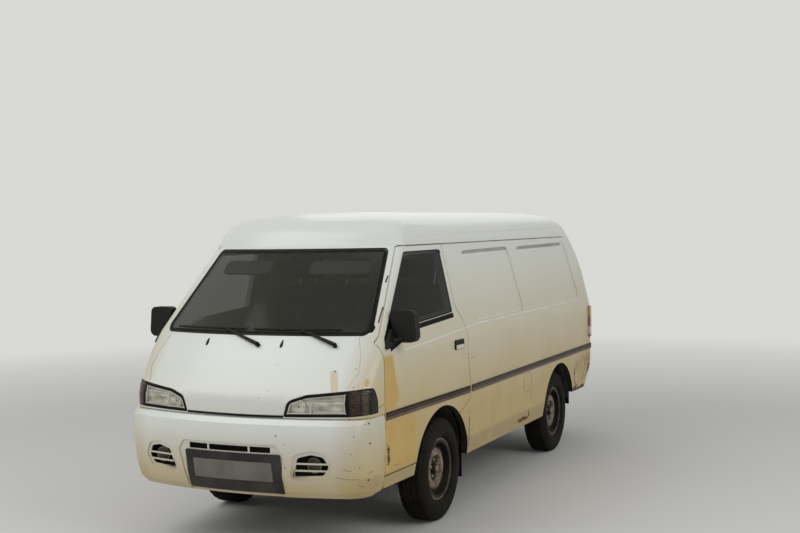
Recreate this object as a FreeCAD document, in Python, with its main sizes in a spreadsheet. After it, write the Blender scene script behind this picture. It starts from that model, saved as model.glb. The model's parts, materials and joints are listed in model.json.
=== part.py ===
"""Panel van: an assembly of separate pieces.

Lengths are in millimetres; the front points towards -Y, the left side towards +X, and the ground is at Z = 0.
"""

import FreeCAD, Part
import math
import os

from FreeCAD import Placement, Rotation, Vector

doc = FreeCAD.newDocument("panel_van")
sheet = doc.addObject("Spreadsheet::Sheet", "Sizes")

SIZES = {
    "wheelbase": 2430.0,
    "front_overhang": 1210.0,
    "rear_overhang": 1060.0,
    "front_track": 1445.0,
    "rear_track": 1400.0,
    "axle_height": 325.0,
    "tyre_radius": 325.0,
    "tyre_width": 184.0,
    "rim_radius": 178.0,
    "rim_width": 136.0,
    "front_arch_radius": 400.0,
    "rear_arch_radius": 396.0,
    "rear_arch_lead": 30.0,
    "plan_axis_back": 1240.0,
    "plan_taper": 0.031,
    "taper_start": 380.0,
    "tail_plan_radius": 6000.0,
    "gutter_height": 1748.0,
    "roof_thickness": 28.0,
    "nose_thickness": 30.0,
    "pillar_thickness": 34.0,
    "side_thickness": 40.0,
    "door_thickness": 45.0,
    "door_skin": 10.0,
    "door_gap": 6.0,
    "door_lap": 18.0,
    "glass_thickness": 8.0,
    "glass_gap": 3.0,
    "glass_flange": 18.0,
    "bumper_wall": 14.0,
    "bumper_top": 793.0,
    "recess_depth": 7.0,
    "fog_rim": 22.0,
    "nose_bottom": 797.0,
    "lamp_depth": 24.0,
    "cowl_height": 1229.0,
    "strip_low": 757.0,
    "strip_high": 801.0,
    "strip_proud": 8.0,
    "panel_depth": 5.0,
    "floor_top": 600.0,
    "floor_thickness": 30.0,
    "floor_inset": 52.0,
    "step_edge": 572.0,
    "housing_wall": 6.0,
    "front_housing_inner": 446.0,
    "rear_housing_inner": 560.0,
    "platform_top": 850.0,
    "rail_inner": 375.0,
    "rail_outer": 445.0,
    "rail_bottom": 470.0,
    "engine_width": 400.0,
    "engine_length": 480.0,
    "engine_height": 430.0,
    "engine_bottom": 330.0,
    "engine_behind_axle": 75.0,
    "kingpin_offset": 680.0,
    "knuckle_half": 88.0,
    "rim_dish_back": 14.0,
    "eye_radius": 15.0,
    "eye_width": 16.0,
    "wheel_rim_radius": 195.0,
    "wheel_grip": 13.0,
    "wheel_side": 400.0,
    "wheel_behind_axle": -300.0,
    "wheel_height": 1130.0,
    "column_tilt": 50.0,
    "column_length": 250.0,
    "tank_width": 310.0,
    "tank_length": 760.0,
    "tank_height": 220.0,
    "hinge_pin": 2.7,
    "seat_clearance": 0.3,
}

for row, (name, value) in enumerate(SIZES.items(), 1):
    sheet.set(f"A{row}", name)
    sheet.set(f"B{row}", str(value))
    sheet.setAlias(f"B{row}", name)
doc.recompute()


def size(name):
    return float(getattr(sheet, name))


length = size("wheelbase") + size("front_overhang") + size("rear_overhang")
front_axle = size("front_overhang") - length / 2
rear_axle_y = front_axle + size("wheelbase")
seat = size("seat_clearance")
floor_top = size("floor_top")
floor_low = floor_top - size("floor_thickness")
gutter = size("gutter_height")
cowl = size("cowl_height")
bumper_top = size("bumper_top")
rear_end = size("wheelbase") + size("rear_overhang")


def behind(distance):
    """The Y of a place that lies a distance behind the front axle."""
    return front_axle + distance


# Columns: height, half width, nose ahead of front axle, nose corner radius, tail short of the rear end,
# tail corner
# radius, lean of the surface from wall (0) to roof (1).
HULL_LEVELS = (
    (350.0, 820.0, 1090.0, 150.0, 150.0, 80.0, 0.0),
    (450.0, 834.0, 1120.0, 150.0, 90.0, 80.0, 0.0),
    (700.0, 842.0, 1140.0, 150.0, 68.0, 80.0, 0.0),
    (880.0, 842.0, 1146.0, 150.0, 68.0, 80.0, 0.0),
    (935.0, 842.0, 1128.0, 145.0, 68.0, 80.0, 0.0),
    (985.0, 842.0, 1090.0, 140.0, 68.0, 80.0, 0.0),
    (1120.0, 842.0, 990.0, 95.0, 68.0, 80.0, 0.0),
    (cowl + 10.0, 814.5, 898.0, 60.0, 68.0, 80.0, 0.0),
    (1447.0, 766.0, 688.0, 45.0, 75.0, 80.0, 0.0),
    (1600.0, 731.0, 534.0, 40.0, 140.0, 80.0, 0.0),
    (gutter, 697.0, 385.0, 40.0, 255.0, 90.0, 0.0),
    (1822.0, 682.0, 352.0, 90.0, 325.0, 110.0, 0.2),
    (1870.0, 655.0, 310.0, 120.0, 380.0, 140.0, 0.5),
    (1905.0, 612.0, 250.0, 160.0, 440.0, 170.0, 0.7),
    (1930.0, 550.0, 160.0, 200.0, 515.0, 190.0, 0.9),
    (1948.0, 440.0, 0.0, 200.0, 630.0, 200.0, 1.0),
    (1960.0, 260.0, -60.0, 150.0, 870.0, 150.0, 1.0),
)

# The same columns for the front bumper.
FRONT_BUMPER_LEVELS = (
    (345.0, 800.0, 1120.0, 140.0, 2490.0, 80.0, 0.0),
    (385.0, 824.0, 1160.0, 150.0, 2490.0, 80.0, 0.0),
    (470.0, 836.0, 1186.0, 160.0, 2490.0, 80.0, 0.0),
    (600.0, 842.0, 1206.0, 165.0, 2490.0, 80.0, 0.0),
    (690.0, 844.0, 1210.0, 165.0, 2490.0, 80.0, 0.0),
    (765.0, 842.0, 1196.0, 160.0, 2490.0, 80.0, 0.0),
    (bumper_top, 836.0, 1172.0, 155.0, 2490.0, 80.0, 0.0),
)


def level_wire(level, inset):
    """One closed horizontal outline of the body, moved inwards by the inset."""
    height, half, nose, nose_radius, tail, tail_radius, lean = level
    inward = inset * (1 - lean)
    z = height - inset * lean
    half -= inward
    nose_y = behind(-nose) + inward
    tail_y = behind(rear_end - tail) - inward
    nose_radius = max(nose_radius - inward, 8.0)
    tail_radius = max(tail_radius - inward, 8.0)
    taper = size("plan_taper")
    bend_y = behind(size("taper_start"))

    front_centre = Vector(0, behind(size("plan_axis_back")), z)
    front_radius = front_centre.y - nose_y
    along = Vector(-taper, -1, 0).normalize()
    inside = Vector(-1, taper, 0).normalize()
    start = Vector(half, bend_y, z) + inside * nose_radius
    reach = start - front_centre
    middle = along.dot(reach)
    gap = reach.dot(reach) - (front_radius - nose_radius) ** 2
    corner = start + along * (-middle + math.sqrt(middle * middle - gap))
    outward = (corner - front_centre).normalize()
    front_end = front_centre + outward * front_radius
    side_start = corner - inside * nose_radius
    nose_mid = corner + (outward - inside).normalize() * nose_radius

    tail_centre = Vector(0, tail_y - size("tail_plan_radius"), z)
    tail_reach = size("tail_plan_radius") - tail_radius
    tail_corner = Vector(half - tail_radius, 0, z)
    tail_corner.y = tail_centre.y + math.sqrt(tail_reach**2 - tail_corner.x**2)
    backward = (tail_corner - tail_centre).normalize()
    side_end = Vector(half, tail_corner.y, z)
    tail_start = tail_centre + backward * size("tail_plan_radius")
    tail_mid = tail_corner + (backward + Vector(1, 0, 0)).normalize() * tail_radius

    def other(point):
        return Vector(-point.x, point.y, point.z)

    bend = Vector(half, bend_y, z)
    nose_point = Vector(0, nose_y, z)
    tail_point = Vector(0, tail_y, z)
    edges = [
        Part.Arc(other(front_end), nose_point, front_end).toShape(),
        Part.Arc(front_end, nose_mid, side_start).toShape(),
        Part.LineSegment(side_start, bend).toShape(),
        Part.LineSegment(bend, side_end).toShape(),
        Part.Arc(side_end, tail_mid, tail_start).toShape(),
        Part.Arc(tail_start, tail_point, other(tail_start)).toShape(),
        Part.Arc(other(tail_start), other(tail_mid), other(side_end)).toShape(),
        Part.LineSegment(other(side_end), other(bend)).toShape(),
        Part.LineSegment(other(bend), other(side_start)).toShape(),
        Part.Arc(other(side_start), other(nose_mid), other(front_end)).toShape(),
    ]
    return Part.Wire(edges)


def lofted(levels, inset):
    """A solid through the body's levels, its walls moved inwards by the inset."""
    return Part.makeLoft([level_wire(level, inset) for level in levels], True, True)


hulls = {}


def hull(inset):
    """The whole body as one solid, moved inwards by the inset and left open-ended below."""
    if inset not in hulls:
        levels = list(HULL_LEVELS)
        if inset > 0:
            levels.insert(0, (250.0,) + HULL_LEVELS[0][1:])
        hulls[inset] = lofted(levels, inset)
    return hulls[inset]


def unit(u, v):
    reach = math.hypot(u, v)
    return u / reach, v / reach


def grown(outline, amount):
    """An outline of (u, v, corner radius) points moved outwards by an amount; it runs anticlockwise."""
    moved = []
    for index, (u, v, radius) in enumerate(outline):
        back_u, back_v, _ = outline[index - 1]
        next_u, next_v, _ = outline[(index + 1) % len(outline)]
        first = unit(u - back_u, v - back_v)
        second = unit(next_u - u, next_v - v)
        turn = first[0] * second[1] - first[1] * second[0]
        spread = 1 + first[0] * second[0] + first[1] * second[1]
        shift_u = amount * (first[1] + second[1]) / spread
        shift_v = -amount * (first[0] + second[0]) / spread
        new_radius = radius + amount if turn > 0 else radius - amount
        moved.append((u + shift_u, v + shift_v, max(new_radius, 0.0)))
    return moved


def outline_face(outline, place):
    """A flat face inside an outline of (u, v, corner radius) points; place turns (u, v) into a Vector."""
    ends = []
    for index, (u, v, radius) in enumerate(outline):
        back_u, back_v, _ = outline[index - 1]
        next_u, next_v, _ = outline[(index + 1) % len(outline)]
        first = unit(u - back_u, v - back_v)
        second = unit(next_u - u, next_v - v)
        bend = math.acos(max(-1.0, min(1.0, first[0] * second[0] + first[1] * second[1])))
        if radius <= 0 or bend < 0.01:
            ends.append((place(u, v), None, place(u, v)))
            continue
        reach = radius * math.tan(bend / 2)
        to_centre = unit(second[0] - first[0], second[1] - first[1])
        rise = radius / math.cos(bend / 2) - radius
        ends.append(
            (
                place(u - first[0] * reach, v - first[1] * reach),
                place(u + to_centre[0] * rise, v + to_centre[1] * rise),
                place(u + second[0] * reach, v + second[1] * reach),
            )
        )
    edges = []
    for index, (entry, middle, leave) in enumerate(ends):
        before = ends[index - 1][2]
        if before.distanceToPoint(entry) > 0.001:
            edges.append(Part.LineSegment(before, entry).toShape())
        if middle is not None:
            edges.append(Part.Arc(entry, middle, leave).toShape())
    return Part.Face(Part.Wire(edges))


def side_prism(outline, low, high):
    """A prism along X over an outline of (behind front axle, height, radius) points."""
    face = outline_face(outline, lambda u, v: Vector(low, behind(u), v))
    return face.extrude(Vector(high - low, 0, 0))


def front_prism(outline, low, high):
    """A prism along Y over an outline of (X, height, radius) points."""
    face = outline_face(outline, lambda u, v: Vector(u, low, v))
    return face.extrude(Vector(0, high - low, 0))


def box(x_low, x_high, y_low, y_high, z_low, z_high):
    corner = Vector(x_low, y_low, z_low)
    return Part.makeBox(x_high - x_low, y_high - y_low, z_high - z_low, corner)


def rod(start, end, radius):
    axis = end - start
    return Part.makeCylinder(radius, axis.Length, start, axis)


def mirrored(shape):
    return shape.mirror(Vector(0, 0, 0), Vector(1, 0, 0))


def both(shape):
    """The left piece and its twin on the right."""
    return Part.makeCompound([shape, mirrored(shape)])


def joined(shapes):
    return shapes[0].fuse(shapes[1:]).removeSplitter() if len(shapes) > 1 else shapes[0]


nodes = {}


def add(label, shape):
    """Puts a finished shape in the document as a sub-part of its own."""
    solids = shape.Solids
    shape = solids[0] if len(solids) == 1 else Part.makeCompound(solids)
    feature = doc.addObject("Part::Feature", label)
    feature.Label = label
    feature.Shape = shape
    nodes[label] = feature
    return feature


WIDE = 1000.0
FAR = 2500.0
HIGH = 2100.0

# The cab door's shut line, seen from the left: (behind front axle, height, corner radius), anticlockwise.
DOOR = (
    (-798.0, 438.0, 6.0),
    (100.0, 438.0, 0.0),
    (250.0, 640.0, 0.0),
    (445.0, 730.0, 60.0),
    (436.0, 800.0, 0.0),
    (402.0, 1010.0, 0.0),
    (404.0, 1200.0, 60.0),
    (310.0, 1340.0, 60.0),
    (314.0, 1746.0, 25.0),
    (-255.0, 1746.0, 45.0),
    (-798.0, 1197.0, 30.0),
)
DOOR_GLASS = (
    (-758.0, 1163.0, 8.0),
    (-300.0, 1274.0, 0.0),
    (250.0, 1303.0, 20.0),
    (266.0, 1707.0, 30.0),
    (-256.0, 1705.0, 40.0),
    (-738.0, 1222.0, 10.0),
)
# The body's left flank seen from the front, as (X, height, corner radius): doors reach inwards no further.
FLANK = (
    (760.0, 300.0, 0.0),
    (WIDE, 300.0, 0.0),
    (WIDE, 1960.0, 0.0),
    (580.0, 1960.0, 0.0),
    (625.0, 1748.0, 0.0),
    (760.0, 1120.0, 0.0),
)
# The sliding door's shut line on the right side.
SLIDING_DOOR = (
    (478.0, 430.0, 40.0),
    (1650.0, 430.0, 60.0),
    (1650.0, 1738.0, 50.0),
    (478.0, 1738.0, 50.0),
)
BLANK_PANELS = (
    ((640.0, 1212.0, 40.0), (1602.0, 1218.0, 50.0), (1536.0, 1696.0, 50.0), (626.0, 1690.0, 40.0)),
    ((1742.0, 1220.0, 50.0), (3050.0, 1224.0, 60.0), (2966.0, 1698.0, 60.0), (1738.0, 1690.0, 50.0)),
)
# Seen from the front: (X, height, corner radius).
WINDSCREEN = ((-717.0, 1240.0, 45.0), (717.0, 1240.0, 45.0), (603.0, 1731.0, 35.0), (-603.0, 1731.0, 35.0))
TAILGATE = (
    (-700.0, 645.0, 30.0),
    (700.0, 645.0, 30.0),
    (706.0, 1200.0, 0.0),
    (585.0, 1740.0, 0.0),
    (500.0, 1885.0, 70.0),
    (-500.0, 1885.0, 70.0),
    (-585.0, 1740.0, 0.0),
    (-706.0, 1200.0, 0.0),
)
TAILGATE_GLASS = (
    (-610.0, 1235.0, 60.0),
    (610.0, 1235.0, 60.0),
    (510.0, 1690.0, 60.0),
    (-510.0, 1690.0, 60.0),
)
HEADLAMP = (
    (326.0, 806.0, 8.0),
    (697.0, 811.0, 0.0),
    (689.0, 949.0, 0.0),
    (458.0, 927.0, 90.0),
    (352.0, 893.0, 50.0),
)
TURN_LAMP = (
    (697.0, 811.0, 0.0),
    (900.0, 824.0, 0.0),
    (900.0, 952.0, 0.0),
    (769.0, 958.0, 30.0),
    (689.0, 949.0, 0.0),
)
# The turn lamp's rear end, seen from the left: (behind front axle, height, corner radius).
TURN_LAMP_END = (
    (-1300.0, 700.0, 0.0),
    (-884.0, 700.0, 0.0),
    (-884.0, 880.0, 40.0),
    (-924.0, 970.0, 50.0),
    (-1300.0, 1000.0, 0.0),
)
PLATE_RECESS = (
    (-300.0, 300.0, 0.0),
    (300.0, 300.0, 0.0),
    (352.0, 600.0, 40.0),
    (310.0, 654.0, 30.0),
    (-310.0, 654.0, 30.0),
    (-352.0, 600.0, 40.0),
)
FOG_SLOT = (
    (401.0, 478.0, 10.0),
    (570.0, 486.0, 25.0),
    (606.0, 536.0, 25.0),
    (578.0, 592.0, 25.0),
    (509.0, 606.0, 60.0),
    (427.0, 584.0, 25.0),
)

door_gap = size("door_gap")
door_edge = grown(DOOR, -door_gap / 2)
flank = front_prism(FLANK, -FAR, FAR)
door_aperture = side_prism(grown(DOOR, door_gap / 2), 0, WIDE).common(
    front_prism(grown(FLANK, door_gap), -FAR, FAR)
)
front_arch = Part.makeCylinder(
    size("front_arch_radius"), 2 * WIDE, Vector(-WIDE, front_axle, size("axle_height")), Vector(1, 0, 0)
)
rear_arch_centre = rear_axle_y - size("rear_arch_lead")
rear_arch = Part.makeCylinder(
    size("rear_arch_radius"), 2 * WIDE, Vector(-WIDE, rear_arch_centre, size("axle_height")), Vector(1, 0, 0)
)
tailgate_aperture = front_prism(grown(TAILGATE, door_gap / 2), behind(2600.0), FAR)


def wall(thickness):
    """The body's wall from its outer skin to a depth."""
    return hull(0.0).cut(hull(thickness))


def closing_panel(edge, prism, low, high):
    """A door-like panel, as large as its shut line at the skin and set back from it behind the skin."""
    whole = prism(edge, low, high)
    middle = prism(grown(edge, -size("door_lap")), low, high)
    lap = whole.cut(middle).common(hull(size("door_skin")))
    return whole.common(hull(0.0)).cut(hull(size("door_thickness"))).cut(lap)


def glazed(panel, outline, prism, low, high):
    """Cuts a window with a seat for its glass; returns the panel and the glass."""
    opening = prism(grown(outline, -size("glass_flange")), low, high)
    recess = prism(grown(outline, size("glass_gap")), low, high)
    depth = size("glass_thickness")
    glass_bed = recess.cut(hull(depth + seat))
    panel = panel.cut(opening).cut(glass_bed)
    glass = prism(outline, low, high).common(hull(0.0)).cut(hull(depth))
    return panel, glass


# Nose panel with its headlamp openings, the door posts behind the bumper ends and the hinge pins.
nose_shell = wall(size("nose_thickness")).common(
    box(-WIDE, WIDE, -FAR, behind(-600.0), size("nose_bottom"), cowl)
)
lamp_bed = hull(size("lamp_depth") + seat)
lamp_cut = front_prism(grown(HEADLAMP, 3.0), -FAR, behind(-700.0)).cut(lamp_bed)
turn_end = side_prism(grown(TURN_LAMP_END, 3.0), 0, WIDE)
turn_cut = front_prism(grown(TURN_LAMP, 3.0), -FAR, 0).common(turn_end).cut(lamp_bed)
nose_shell = nose_shell.cut(
    [lamp_cut, mirrored(lamp_cut), turn_cut, mirrored(turn_cut), door_aperture, mirrored(door_aperture)]
)
post = hull(size("bumper_wall") + 2.0).cut(hull(70.0)).common(
    box(0, WIDE, behind(-870.0), behind(-801.5), 372.0, size("nose_bottom") + 33.0)
)
hinge_x = 801.5
hinge_y = behind(-798.0)
hinge_pins = []
for low in (520.0, 1000.0):
    pin = rod(Vector(hinge_x, hinge_y, low), Vector(hinge_x, hinge_y, low + 50.0), size("hinge_pin"))
    arm = box(hinge_x - 34.0, hinge_x + 1.0, hinge_y - door_gap / 2 - 6.0, hinge_y - 1.0, low + 10.0, low + 40.0)
    hinge_pins.append(pin.fuse(arm))
left_post = joined([post] + hinge_pins)
front_panel = joined([nose_shell, left_post, mirrored(left_post)])
add("front_panel", front_panel)

lamp_back = hull(size("lamp_depth"))
lamp = front_prism(HEADLAMP, -FAR, behind(-700.0)).common(hull(0.0)).cut(lamp_back)
turn_block = front_prism(TURN_LAMP, -FAR, 0).common(side_prism(TURN_LAMP_END, 0, WIDE))
turn = turn_block.common(hull(0.0)).cut(lamp_back)
add("headlamps", both(lamp))
add("turn_lamps", both(turn))

# Windscreen frame: pillars, header and cowl with a seat for the glass.
screen_frame = wall(size("pillar_thickness")).common(
    box(-WIDE, WIDE, -FAR, behind(100.0), cowl + seat, gutter - seat)
)
keep = side_prism(
    ((-1000.0, 1200.0, 0.0), (-740.0, 1190.0, 0.0), (-215.0, 1760.0, 0.0), (-1000.0, 1760.0, 0.0)), -WIDE, WIDE
)
screen_frame = screen_frame.common(keep).cut([door_aperture, mirrored(door_aperture)])
screen_frame, windscreen = glazed(screen_frame, WINDSCREEN, front_prism, -FAR, behind(0.0))
add("windscreen_frame", screen_frame)
add("windscreen", windscreen)

# Roof with its rain gutters and the tailgate's hinge pins.
roof = hull(0.0).cut(hull(size("roof_thickness"))).common(box(-WIDE, WIDE, -FAR, FAR, gutter, HIGH))
gutter_strip = hull(-9.0).cut(hull(10.0)).common(
    box(645.0, WIDE, behind(-400.0), behind(2990.0), gutter, gutter + 10.0)
)
roof = joined([roof, gutter_strip, mirrored(gutter_strip)]).cut(tailgate_aperture)
tail_hinge = Vector(0, behind(3088.0), 1885.0)
pins = []
for side in (-1, 1):
    start = Vector(side * 80.0, tail_hinge.y, tail_hinge.z)
    end = Vector(side * 140.0, tail_hinge.y, tail_hinge.z)
    pins.append(rod(start, end, size("hinge_pin")))
    pins.append(
        box(min(start.x, end.x) + 10, max(start.x, end.x) - 10, tail_hinge.y - 30.0, tail_hinge.y + 1.0,
            tail_hinge.z + 1.0, tail_hinge.z + 10.0)
    )
roof = joined([roof] + pins)
add("roof_panel", roof)


def side_panel(apertures):
    """The left body side behind the cab door, with its arch, sill and blank panels."""
    region = side_prism(
        (
            (150.0, 350.0, 0.0),
            (2400.0, 350.0, 0.0),
            (2780.0, 437.0, 0.0),
            (3114.0, 437.0, 60.0),
            (3330.0, 650.0, 0.0),
            (3500.0, 650.0, 0.0),
            (3500.0, gutter - seat, 0.0),
            (150.0, gutter - seat, 0.0),
        ),
        555.0,
        WIDE,
    )
    panel = wall(size("side_thickness")).common(region)
    for outline in BLANK_PANELS:
        pressing = side_prism(outline, 0, WIDE).cut(hull(size("panel_depth")))
        panel = panel.cut(pressing)
    return panel.cut([door_aperture, front_arch, rear_arch, tailgate_aperture] + apertures)


flap = ((1523.0, 602.0, 15.0), (1673.0, 602.0, 15.0), (1673.0, 738.0, 15.0), (1523.0, 738.0, 15.0))
flap_gap = 3.0
flap_depth = 6.0
flap_pocket = side_prism(grown(flap, flap_gap), 0, WIDE).cut(hull(30.0))
left_side = side_panel([flap_pocket])
flap_panel = side_prism(flap, 0, WIDE).common(hull(0.0)).cut(hull(flap_depth))
flap_x = 843.5
flap_y = behind(1523.0) - flap_gap / 2
flap_pin = rod(Vector(flap_x, flap_y, 630.0), Vector(flap_x, flap_y, 710.0), 1.2)
flap_arm = box(flap_x - 12.0, flap_x + 0.5, flap_y - 12.0, flap_y - 0.6, 640.0, 700.0)
left_side = joined([left_side, flap_pin.fuse(flap_arm)])
add("side_panel_left", left_side)
add("fuel_flap", flap_panel)

slide_opening = side_prism(grown(SLIDING_DOOR, 4.0), 0, WIDE)
slide_channel = box(0, WIDE, behind(1700.0), behind(3180.0), 968.0, 1000.0).cut(hull(16.0))
right_side = mirrored(side_panel([slide_opening, slide_channel]))
add("side_panel_right", right_side)

pressing = side_prism(BLANK_PANELS[0], 0, WIDE).cut(hull(size("panel_depth")))
slide_roller = box(0, WIDE, behind(1100.0), behind(1180.0), 426.0 + seat, 470.0).common(
    hull(14.0).cut(hull(38.0))
)
slide_grip_bed = box(0, WIDE, behind(530.0), behind(680.0), 1052.0, 1132.0).cut(hull(9.0))
sliding_door = closing_panel(SLIDING_DOOR, side_prism, 0, WIDE).cut([pressing, slide_grip_bed])
slide_grip = hull(-6.0).cut(hull(10.0)).common(
    box(0, WIDE, behind(540.0), behind(670.0), 1082.0, 1116.0)
)
add("sliding_door", mirrored(joined([sliding_door, slide_roller, slide_grip])))


def cab_door(sign):
    """One cab door as panel, glass and outer fittings, made on the left and mirrored for the right."""
    panel = closing_panel(door_edge, side_prism, 0, WIDE).common(flank).cut(front_arch)
    panel, glass = glazed(panel, DOOR_GLASS, side_prism, 0, WIDE)
    glass = glass.common(flank)
    strip = outer_band(size("strip_proud")).common(
        box(0, WIDE, behind(-788.0), behind(414.0), size("strip_low"), size("strip_high"))
    )
    handle = outer_band(10.0).common(box(0, WIDE, behind(182.0), behind(315.0), 1062.0, 1122.0))
    pieces = {"panel": panel, "glass": glass, "fittings": Part.makeCompound([strip, handle, mirror()])}
    return {name: mirrored(shape) if sign < 0 else shape for name, shape in pieces.items()}


def outer_band(proud):
    """A layer on the body's outer skin, a seat clearance off it."""
    return hull(-proud).cut(hull(-seat))


def mirror():
    """The door mirror: its triangular foot on the door's front corner, an arm and the head."""
    foot_outline = ((-770.0, 1158.0, 6.0), (-640.0, 1192.0, 6.0), (-660.0, 1276.0, 10.0), (-738.0, 1208.0, 6.0))
    foot = side_prism(foot_outline, 700.0, WIDE).common(outer_band(20.0))
    head = front_prism(
        ((803.0, 1190.0, 30.0), (940.0, 1190.0, 40.0), (925.0, 1377.0, 35.0), (765.0, 1377.0, 30.0)),
        behind(-640.0),
        behind(-578.0),
    )
    arm = rod(Vector(806.0, behind(-690.0), 1205.0), Vector(850.0, behind(-615.0), 1215.0), 12.0)
    return joined([foot, arm, head])


for side_name, sign in (("left", 1), ("right", -1)):
    for piece_name, shape in cab_door(sign).items():
        add(f"door_{side_name}_{piece_name}", shape)

# Tailgate with its glass.
tailgate = closing_panel(grown(TAILGATE, -door_gap / 2), front_prism, behind(2700.0), FAR)
tailgate, tail_glass = glazed(tailgate, TAILGATE_GLASS, front_prism, behind(2800.0), FAR)
add("tailgate_panel", tailgate)
add("tailgate_glass", tail_glass)

# Tail lamps stand on the rear corners beside the tailgate.
tail_lamp = outer_band(14.0).common(box(722.0, WIDE, behind(3250.0), FAR, 860.0, 1130.0))
add("tail_lamps", both(tail_lamp))

# Bumpers.
bumper = lofted(FRONT_BUMPER_LEVELS, 0.0)
bumper_hollow_levels = [(250.0,) + FRONT_BUMPER_LEVELS[0][1:]] + list(FRONT_BUMPER_LEVELS[:-1])
bumper_hollow_levels.append((bumper_top - size("bumper_wall"),) + FRONT_BUMPER_LEVELS[-1][1:])
bumper_inside = lofted(bumper_hollow_levels, size("bumper_wall"))
bumper = bumper.cut(bumper_inside).common(box(-WIDE, WIDE, -FAR, behind(-801.0), 300.0, 900.0))
bumper = bumper.cut(hull(size("bumper_wall") + 1.5))
recess_floor = lofted(FRONT_BUMPER_LEVELS, size("recess_depth"))
fog_recess = front_prism(grown(FOG_SLOT, size("fog_rim")), -FAR, behind(-900.0))
plate_recess = front_prism(PLATE_RECESS, -FAR, behind(-1000.0))
bumper = bumper.cut([recess.cut(recess_floor) for recess in (fog_recess, mirrored(fog_recess), plate_recess)])
fog = front_prism(FOG_SLOT, -FAR, behind(-900.0))
intake = box(-272.0, 272.0, -FAR, behind(-1000.0), 606.0, 640.0)
hinge_notch = box(770.0, 830.0, hinge_y - 13.0, hinge_y + 10.0, 527.0, 563.0)
bumper = bumper.cut([fog, mirrored(fog), intake, hinge_notch, mirrored(hinge_notch)])
bars = []
for height in (512.0, 552.0):
    bars.append(box(380.0, 630.0, behind(-1250.0), behind(-1000.0), height - 5.0, height + 5.0))
bumper_inside = lofted(FRONT_BUMPER_LEVELS, size("bumper_wall"))
inner_band = lofted(FRONT_BUMPER_LEVELS, size("recess_depth") + 1.0).cut(bumper_inside)
grille = [inner_band.common(bar) for bar in bars]
grille += [mirrored(bar) for bar in grille]
for x in (-136.0, 136.0):
    grille.append(inner_band.common(box(x - 5.0, x + 5.0, -FAR, behind(-1000.0), 600.0, 646.0)))
add("front_bumper", joined([bumper] + grille))

rear_levels = (
    (440.0, 690.0, 600.0, 100.0, 20.0, 60.0, 0.0),
    (465.0, 705.0, 600.0, 100.0, 0.0, 60.0, 0.0),
    (580.0, 705.0, 600.0, 100.0, 0.0, 60.0, 0.0),
    (605.0, 695.0, 600.0, 100.0, 12.0, 60.0, 0.0),
)
rear_bumper = lofted(rear_levels, 0.0).common(box(-WIDE, WIDE, behind(3360.0), FAR, 300.0, 700.0))
add("rear_bumper", rear_bumper.cut([hull(-seat), box(-680.0, 680.0, 0, behind(3462.0), 452.0, 593.0)]))

# Rub strips behind the doors; the right one is parted at the sliding door's edges.
side_strip = outer_band(size("strip_proud")).common(
    box(0, WIDE, behind(456.0), behind(3320.0), size("strip_low"), size("strip_high"))
)
slide_edges = ((450.0, 481.0), (1647.0, 1653.0))
strip_gaps = [box(-WIDE, 0, behind(low), behind(high), 0, HIGH) for low, high in slide_edges]
add("side_strips", Part.makeCompound([side_strip, mirrored(side_strip).cut(strip_gaps)]))

# Floor: cab and load floor in one pan with the toe board and the rear sill, open over the engine and the
# steps.
engine_front = behind(size("engine_behind_axle"))
engine_back = engine_front + size("engine_length")
engine_half = size("engine_width") / 2
step_edge = size("step_edge")
floor_slab = hull(size("side_thickness") + seat).common(box(-WIDE, WIDE, -FAR, FAR, floor_low, floor_top))
toe_board = hull(size("side_thickness") + seat).cut(hull(size("side_thickness") + 20.0)).common(
    box(-700.0, 700.0, -FAR, behind(-900.0), floor_low, 872.0)
)
rear_sill = hull(0.0).cut(hull(size("side_thickness") + 2.0)).common(
    box(-760.0, 760.0, behind(3250.0), FAR, floor_low, TAILGATE[0][1] - door_gap / 2 - seat)
)
side_openings = [
    door_aperture.cut(hull(size("floor_inset"))),
    box(step_edge, WIDE, behind(-900.0), behind(-400.0), 0, floor_top + 1.0),
    box(size("front_housing_inner") - seat, WIDE, behind(-406.5), behind(406.5), 0, HIGH),
    box(size("rear_housing_inner") - seat, WIDE, rear_arch_centre - 402.5, rear_arch_centre + 402.5, 0, HIGH),
]
engine_opening = box(-engine_half - 6.0, engine_half + 6.0, engine_front - 6.0, engine_back + 6.0, 0, HIGH)
slide_zone = mirrored(slide_opening.cut(hull(size("floor_inset"))))
floor = joined([floor_slab, toe_board, rear_sill]).cut(
    side_openings + [mirrored(opening) for opening in side_openings] + [engine_opening, slide_zone]
)
add("floor_pan", floor)

# Front sills below the cab doors, with the step and its riser.
housing_zone = Part.makeCylinder(
    size("front_arch_radius") + size("housing_wall") + seat,
    782.0,
    Vector(0, front_axle, size("axle_height")),
    Vector(1, 0, 0),
)
sill = hull(0.0).common(box(step_edge - 12.0, WIDE, behind(-799.0), behind(-330.0), 366.0, 434.0))
sill_hollow = box(500.0, WIDE, behind(-795.0), behind(-300.0), 300.0, 400.0).common(hull(12.0))
sill = sill.cut([front_arch, housing_zone, sill_hollow])
riser = box(step_edge - 12.0, step_edge, behind(-799.0), behind(-425.0), 430.0, floor_low - seat)
add("front_sills", both(joined([sill, riser])))


def wheel_housing(centre_y, radius, inner, outer_inset):
    """A round wheel housing: an arched shell with its inner wall."""
    wall_thickness = size("housing_wall")
    centre = Vector(inner, centre_y, size("axle_height"))
    outer = Part.makeCylinder(radius, WIDE - inner, centre, Vector(1, 0, 0))
    hollow = Part.makeCylinder(
        radius - wall_thickness, WIDE, centre + Vector(wall_thickness, 0, 0), Vector(1, 0, 0)
    )
    arch = outer.cut(hollow).common(hull(outer_inset))
    return arch.common(box(0, WIDE, centre_y - WIDE, centre_y + WIDE, size("axle_height") + 60.0, HIGH))


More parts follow.
